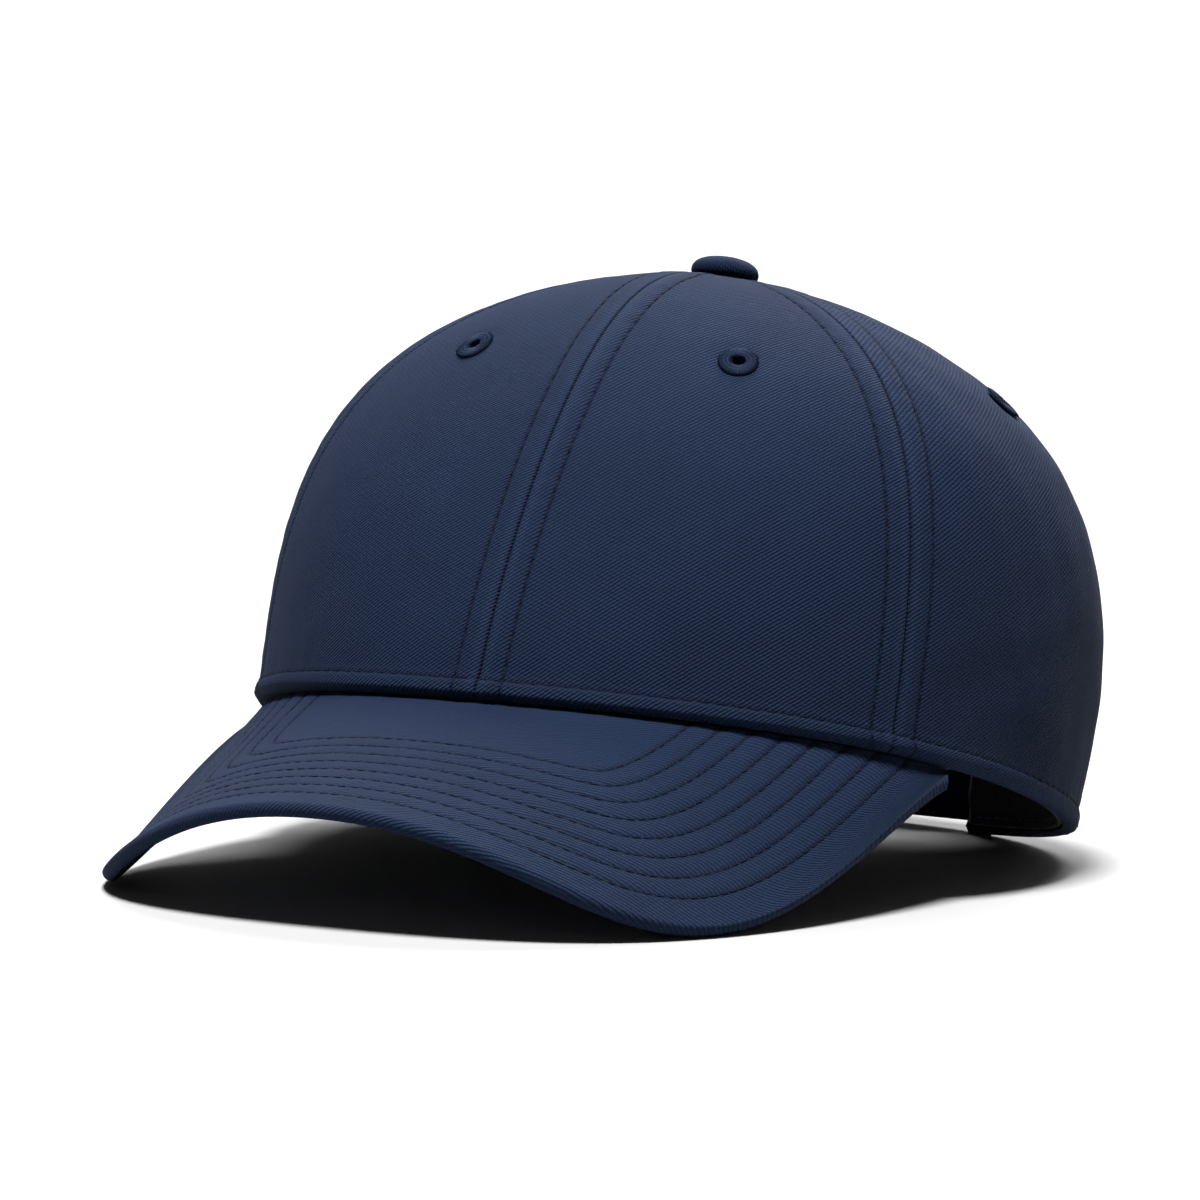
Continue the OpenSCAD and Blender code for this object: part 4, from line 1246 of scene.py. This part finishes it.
strap_wid = 20.0
strap_t = 0.95
strap_low = 3.2
strap_tip_a = math.radians(16)
strap_root_a = math.radians(30)
strap_round = 6.6
strap_edge_in = 2.4
strap_stitch_pitch = 2.9
strap_step = np.linalg.norm(rim(np.array(math.pi + 0.01)) - rim(np.array(math.pi - 0.01))) / 0.02
strap_cols = 130
strap_across = 42
strap_twill = twill("strap_twill", navy_deep, navy_rib, navy_worn)


def corner(left, r):
    """How much a round corner takes off an edge, left millimetres before the strap's end."""
    return np.where(left >= r, 0, r - np.sqrt(np.maximum(r * r - (r - np.clip(left, 0, r)) ** 2, 0)))


def strap_grid(side, tip_a, root_a, low, high, r, cols, across):
    """Angles, heights, distance to the tip and to the nearest edge, over a strap from root to tip.
    Columns run to the right as seen from behind, towards the wearer's right."""
    start, end = math.pi + side * root_a, math.pi - side * tip_a
    share = 1 - np.linspace(1, 0, cols) ** 1.5
    x = share * abs(end - start) * strap_step
    left = x[-1] - x
    trim = corner(left, r)
    y = np.linspace(0, 1, across)[:, None]
    h = (low + trim) + y * (high - low - 2 * trim)
    a = (start + (end - start) * share)[None] + 0 * h
    edge = np.minimum(np.minimum(h - low, high - h), left[None] + 0 * h)
    grid = [a, h, left[None] + 0 * h, edge]
    if side > 0:
        grid = [g[:, ::-1] for g in grid]
    return grid




def strap_cloth(name, side, tip_a, root_a, depth, thick, low, high, r, cols, across, material, soft=0.25):
    a, h, left, edge = strap_grid(side, tip_a, root_a, low, high, r, cols, across)
    f = elev(a, h)
    normal = crown_normal(a, f)
    run = (a - math.pi) * strap_step
    edge_round = rounded(edge, soft)
    row = 0.22 * hump(edge, strap_edge_in, 0.5)
    lift = 0.06 * waves(run, h, 14, 91) * ease(edge / 2)
    outer_d = depth(left) + lift + edge_round + row
    inner_d = depth(left) + lift + thick - edge_round - row
    outer = crown(a, f) - outer_d[..., None] * normal
    inner = crown(a, f) - inner_d[..., None] * normal
    # Edges rubbed pale as real wear, and painted shade along the stitch row
    wear_and_groove_shade = np.clip(0.6 - edge / 1.3, 0, 1) - 0.7 * hump(edge, strap_edge_in, 0.4)
    return cloth_shell(name, outer, inner, np.stack([run, h], -1), wear_and_groove_shade, material), outer, inner, normal


def strap_line(side, depth, lift):
    """The edge stitching's line: along the top, round the end and back along the bottom."""
    total = (strap_root_a + strap_tip_a) * strap_step
    r = strap_round - strap_edge_in
    low, high = strap_low + strap_edge_in, strap_low + strap_wid - strap_edge_in
    far = strap_edge_in
    turn = np.radians(np.linspace(0, 90, 12))
    flat_x = np.linspace(total - 1, far + r, 60)
    round_x = far + r - r * np.sin(turn)
    xs = np.concatenate([flat_x, round_x, round_x[::-1], flat_x[::-1]])
    hs = np.concatenate([0 * flat_x + high, high - r + r * np.cos(turn), (low + r - r * np.cos(turn))[::-1],
                         0 * flat_x + low])
    a = math.pi + side * (strap_root_a - (total - xs) / strap_step)
    f = elev(a, hs)
    normal = crown_normal(a, f)
    return crown(a, f) - (depth(xs) + lift)[:, None] * normal, normal


def root_drop(surface, root):
    """Depth of a strap's outer face: on the surface, and sunk under the binding at its root."""
    total = (strap_root_a + strap_tip_a) * strap_step
    return lambda left: surface + (root - surface) * ease((11.0 - (total - left)) / 8.0)


strap_rows = (("outer", "hook_strap", -1, root_drop(-1.5, 1.5), "outer_strap_open"),
              ("inner", "loop_strap", 1, root_drop(1.15, 2.2), "inner_strap_fold"))
for strap, node, side, depth, joint in strap_rows:
    piece, outer, inner, normal = strap_cloth(
        f"{strap}_strap_cloth", side, strap_tip_a, strap_root_a, depth, strap_t, strap_low,
        strap_low + strap_wid, strap_round, strap_cols, strap_across, strap_twill)
    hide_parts(node)
    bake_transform(piece)
    out_line, out_normal = strap_line(side, depth, 0.2)
    in_line, in_normal = strap_line(side, depth, strap_t - 0.2)
    stitching = sew(f"{strap}_strap_stitching", [(out_line, out_normal, strap_stitch_pitch),
                                                 (in_line, -in_normal, strap_stitch_pitch)],
                    navy_thread, stitch_size, 51 + side)
    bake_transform(stitching)

# ---- Hook and loop tapes ----
# Woven nylon tapes sewn flat to the straps' facing sides: stiff cut hooks under the outer strap,
# and a mat of fine loops on the inner one. They grip where the straps overlap.

tape_in = 3.6
tape_round = 1.5
tape_length = 30.0
hook_pitch = 1.5
loop_pitch = 1.0


def nylon_weave(name, dark, light):
    n = Nodes(name)
    at = n.node("ShaderNodeUVMap").outputs[0]
    part = n.node("ShaderNodeSeparateXYZ", Vector=at)
    warp = n.math("ABSOLUTE", n.math("SINE", n.math("MULTIPLY", part.outputs[0], math.pi / 0.8)))
    weft = n.math("ABSOLUTE", n.math("SINE", n.math("MULTIPLY", part.outputs[1], math.pi / 0.5)))
    knit = n.math("MULTIPLY", warp, weft)
    fuzz = n.noise(n.node("ShaderNodeTexCoord").outputs["Object"], 3000.0, 3.0)
    colour = n.mix(n.math("ADD", n.math("MULTIPLY", knit, 0.7), n.math("MULTIPLY", fuzz, 0.3)), dark, light)
    return n.finish(colour, 0.55, n.bump(knit, 0.0001, 0.7))


def monofilament(name, colour):
    n = Nodes(name)
    place_at = n.node("ShaderNodeTexCoord").outputs["Object"]
    streak = n.noise(place_at, 2600.0, 3.0)
    body = n.mix(streak, colour, tuple(min(1, c * 2.2 + 0.01) for c in colour[:3]) + (1,))
    return n.finish(body, n.math("ADD", n.math("MULTIPLY", streak, 0.2), 0.3), n.bump(streak, 0.00003, 0.4))


def bent_wire(tree, start, middle, end, wire):
    """A bent filament: a curve through three points with a few flat sides."""
    curve = tree.nodes.new("GeometryNodeCurveQuadraticBezier")
    curve.inputs["Resolution"].default_value = 5
    curve.inputs["Start"].default_value = start
    curve.inputs["Middle"].default_value = middle
    curve.inputs["End"].default_value = end
    ring = tree.nodes.new("GeometryNodeCurvePrimitiveCircle")
    ring.inputs["Resolution"].default_value = 4
    ring.inputs["Radius"].default_value = wire
    tube = tree.nodes.new("GeometryNodeCurveToMesh")
    tree.links.new(curve.outputs[0], tube.inputs["Curve"])
    tree.links.new(ring.outputs[0], tube.inputs["Profile Curve"])
    tube.inputs["Fill Caps"].default_value = True
    return tube.outputs[0]


def hook_shape(tree, given):
    return bent_wire(tree, (-0.5, 0, 0), (-0.45, 0, 1.5), (0.5, 0, 0.45), 0.16)


def loop_shape(tree, given):
    return bent_wire(tree, (-0.5, -0.2, 0), (0, 0.4, 2.0), (0.5, 0.1, 0), 0.09)


hook_tree = scatter_tree("cut_hook", hook_shape, lengths_wanted)
loop_tree = scatter_tree("nylon_loop", loop_shape, lengths_wanted)
strap_high = strap_low + strap_wid
tapes = (("outer", "hook_tape", -1, -1.5 + strap_t, 0.35, hook_tree, hook_pitch, (0.9, 0.8, 0.62),
          monofilament("hook_nylon", (0.012, 0.018, 0.035, 1)), "outer_strap_open", 1),
         ("inner", "loop_tape", 1, 1.15 - 0.2, 0.25, loop_tree, loop_pitch, (1.1, 1.0, 0.5),
          monofilament("loop_nylon", (0.014, 0.02, 0.04, 1)), "inner_strap_fold", -1))
tape_weave = nylon_weave("tape_ground", (0.006, 0.009, 0.017, 1), (0.028, 0.038, 0.07, 1))
for strap, node, side, top, thick, tree, pitch, sizes, nylon, joint, facing in tapes:
    tip_a = strap_tip_a - tape_in / strap_step
    piece, outer, inner, normal = strap_cloth(
        f"{node}_ground", side, tip_a, tape_length / strap_step - tip_a, lambda left: top + 0 * left, thick,
        strap_low + tape_in, strap_high - tape_in, tape_round, 60, 18, tape_weave, 0.1)
    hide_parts(node)
    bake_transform(piece)
    face, way = (inner, -normal) if facing > 0 else (outer, normal)
    rng = np.random.default_rng(61)
    spots, ahead, up_way = [], [], []
    down = np.linspace(0.8, strap_wid - 2 * tape_in - 0.8, int((strap_wid - 2 * tape_in) / pitch))
    over = np.linspace(1.0, tape_length - 1.0, int(tape_length / pitch))
    across_at = np.linspace(0, 1, face.shape[0])
    along_at = lengths(face[face.shape[0] // 2])
    for i, x in enumerate(over):
        x = x / tape_length * along_at[-1]
        row, out = (np.stack([[np.interp(x, along_at, line[:, k]) for k in range(3)] for line in lines])
                    for lines in (face, way))
        for y in down:
            share = (y + rng.uniform(-0.12, 0.12) * pitch) / (strap_wid - 2 * tape_in)
            spots.append([np.interp(share, across_at, row[:, k]) for k in range(3)])
            up_way.append([np.interp(share, across_at, out[:, k]) for k in range(3)])
            turn = rng.uniform(-0.5, 0.5) + (i % 2) * math.pi
            ahead.append((math.cos(turn), math.sin(turn)))
    spots, up_way = np.array(spots), unit(np.array(up_way))
    level = unit(np.cross(np.array([0.0, 0.0, 1.0]), up_way))
    rise = np.cross(up_way, level)
    turned = np.array(ahead)
    ahead = unit(turned[:, :1] * level + turned[:, 1:] * rise)
    pile = scatter(f"{node}_pile", tree, spots, ahead, up_way, nylon, sizes, 62)
    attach(pile, f"{strap}_strap")

# ---- Studio ----
# A seamless pale sweep with one soft light high above, a weak fill in front and a light on the
# floor behind, so that the twill shows its ribs and the ground stays pale.

sweep_depth = 3.2
sweep_front = -3.4
sweep_half = 4.0
sweep_top = 3.0
sweep_bend = 0.9
bend_steps = 24
line = [(sweep_front, 0.0)]
for i in range(bend_steps + 1):
    turn = math.pi / 2 * i / bend_steps
    line.append((sweep_depth - sweep_bend + sweep_bend * math.sin(turn), sweep_bend * (1 - math.cos(turn))))
line.append((sweep_depth, sweep_top))
sweep_points = [(x, y, z) for y, z in line for x in (-sweep_half, sweep_half)]
sweep_faces = [(2 * i, 2 * i + 1, 2 * i + 3, 2 * i + 2) for i in range(len(line) - 1)]
sweep_mesh = bpy.data.meshes.new("sweep")
sweep_mesh.from_pydata(sweep_points, [], sweep_faces)
sweep_mesh.polygons.foreach_set("use_smooth", [True] * len(sweep_faces))
paper = bpy.data.materials.new("sweep_paper")
paper.use_nodes = True
paper.node_tree.nodes["Principled BSDF"].inputs["Base Color"].default_value = (0.28, 0.28, 0.28, 1)
paper.node_tree.nodes["Principled BSDF"].inputs["Roughness"].default_value = 0.9
sweep_mesh.materials.append(paper)
sweep = bpy.data.objects.new("sweep", sweep_mesh)
bpy.context.scene.collection.objects.link(sweep)

cap_middle = Vector((0, 0, 0.06))


def soft_light(name, where, size, power, aim=cap_middle):
    light = bpy.data.lights.new(name, "AREA")
    light.shape = "DISK"
    light.size = size
    light.energy = power
    obj = bpy.data.objects.new(name, light)
    obj.location = where
    obj.rotation_euler = (Vector(aim) - Vector(where)).to_track_quat("-Z", "Y").to_euler()
    bpy.context.scene.collection.objects.link(obj)


soft_light("key_light", (0.12, -0.5, 2.6), 0.8, 225)
soft_light("fill_light", (0.9, -2.6, 1.0), 1.6, 3)
soft_light("floor_light", (-0.8, 2.3, 2.2), 2.4, 225, (-0.8, 2.3, 0))
world = bpy.data.worlds.new("studio")
world.use_nodes = True
world.node_tree.nodes["Background"].inputs["Color"].default_value = (1, 1, 1, 1)
world.node_tree.nodes["Background"].inputs["Strength"].default_value = 0.03
bpy.context.scene.world = world
bpy.context.scene.view_settings.view_transform = "Standard"

camera_turn = math.radians(26.748)
camera_lift = math.radians(5.153)
camera_roll = math.radians(1.766)
camera_far = 1.8593
camera_aim = Vector((-0.01836, 0.03254, 0.05388))
lens = bpy.data.cameras.new("camera")
lens.sensor_width = 36
lens.lens = 258.41
lens.clip_end = 30
camera = bpy.data.objects.new("camera", lens)
look = Vector((-math.sin(camera_turn) * math.cos(camera_lift),
               math.cos(camera_turn) * math.cos(camera_lift), -math.sin(camera_lift)))
camera.location = camera_aim - look * camera_far
level = look.to_track_quat("-Z", "Y")
camera.rotation_mode = "QUATERNION"
camera.rotation_quaternion = level @ Quaternion((0, 0, 1), camera_roll)
bpy.context.scene.collection.objects.link(camera)
bpy.context.scene.camera = camera
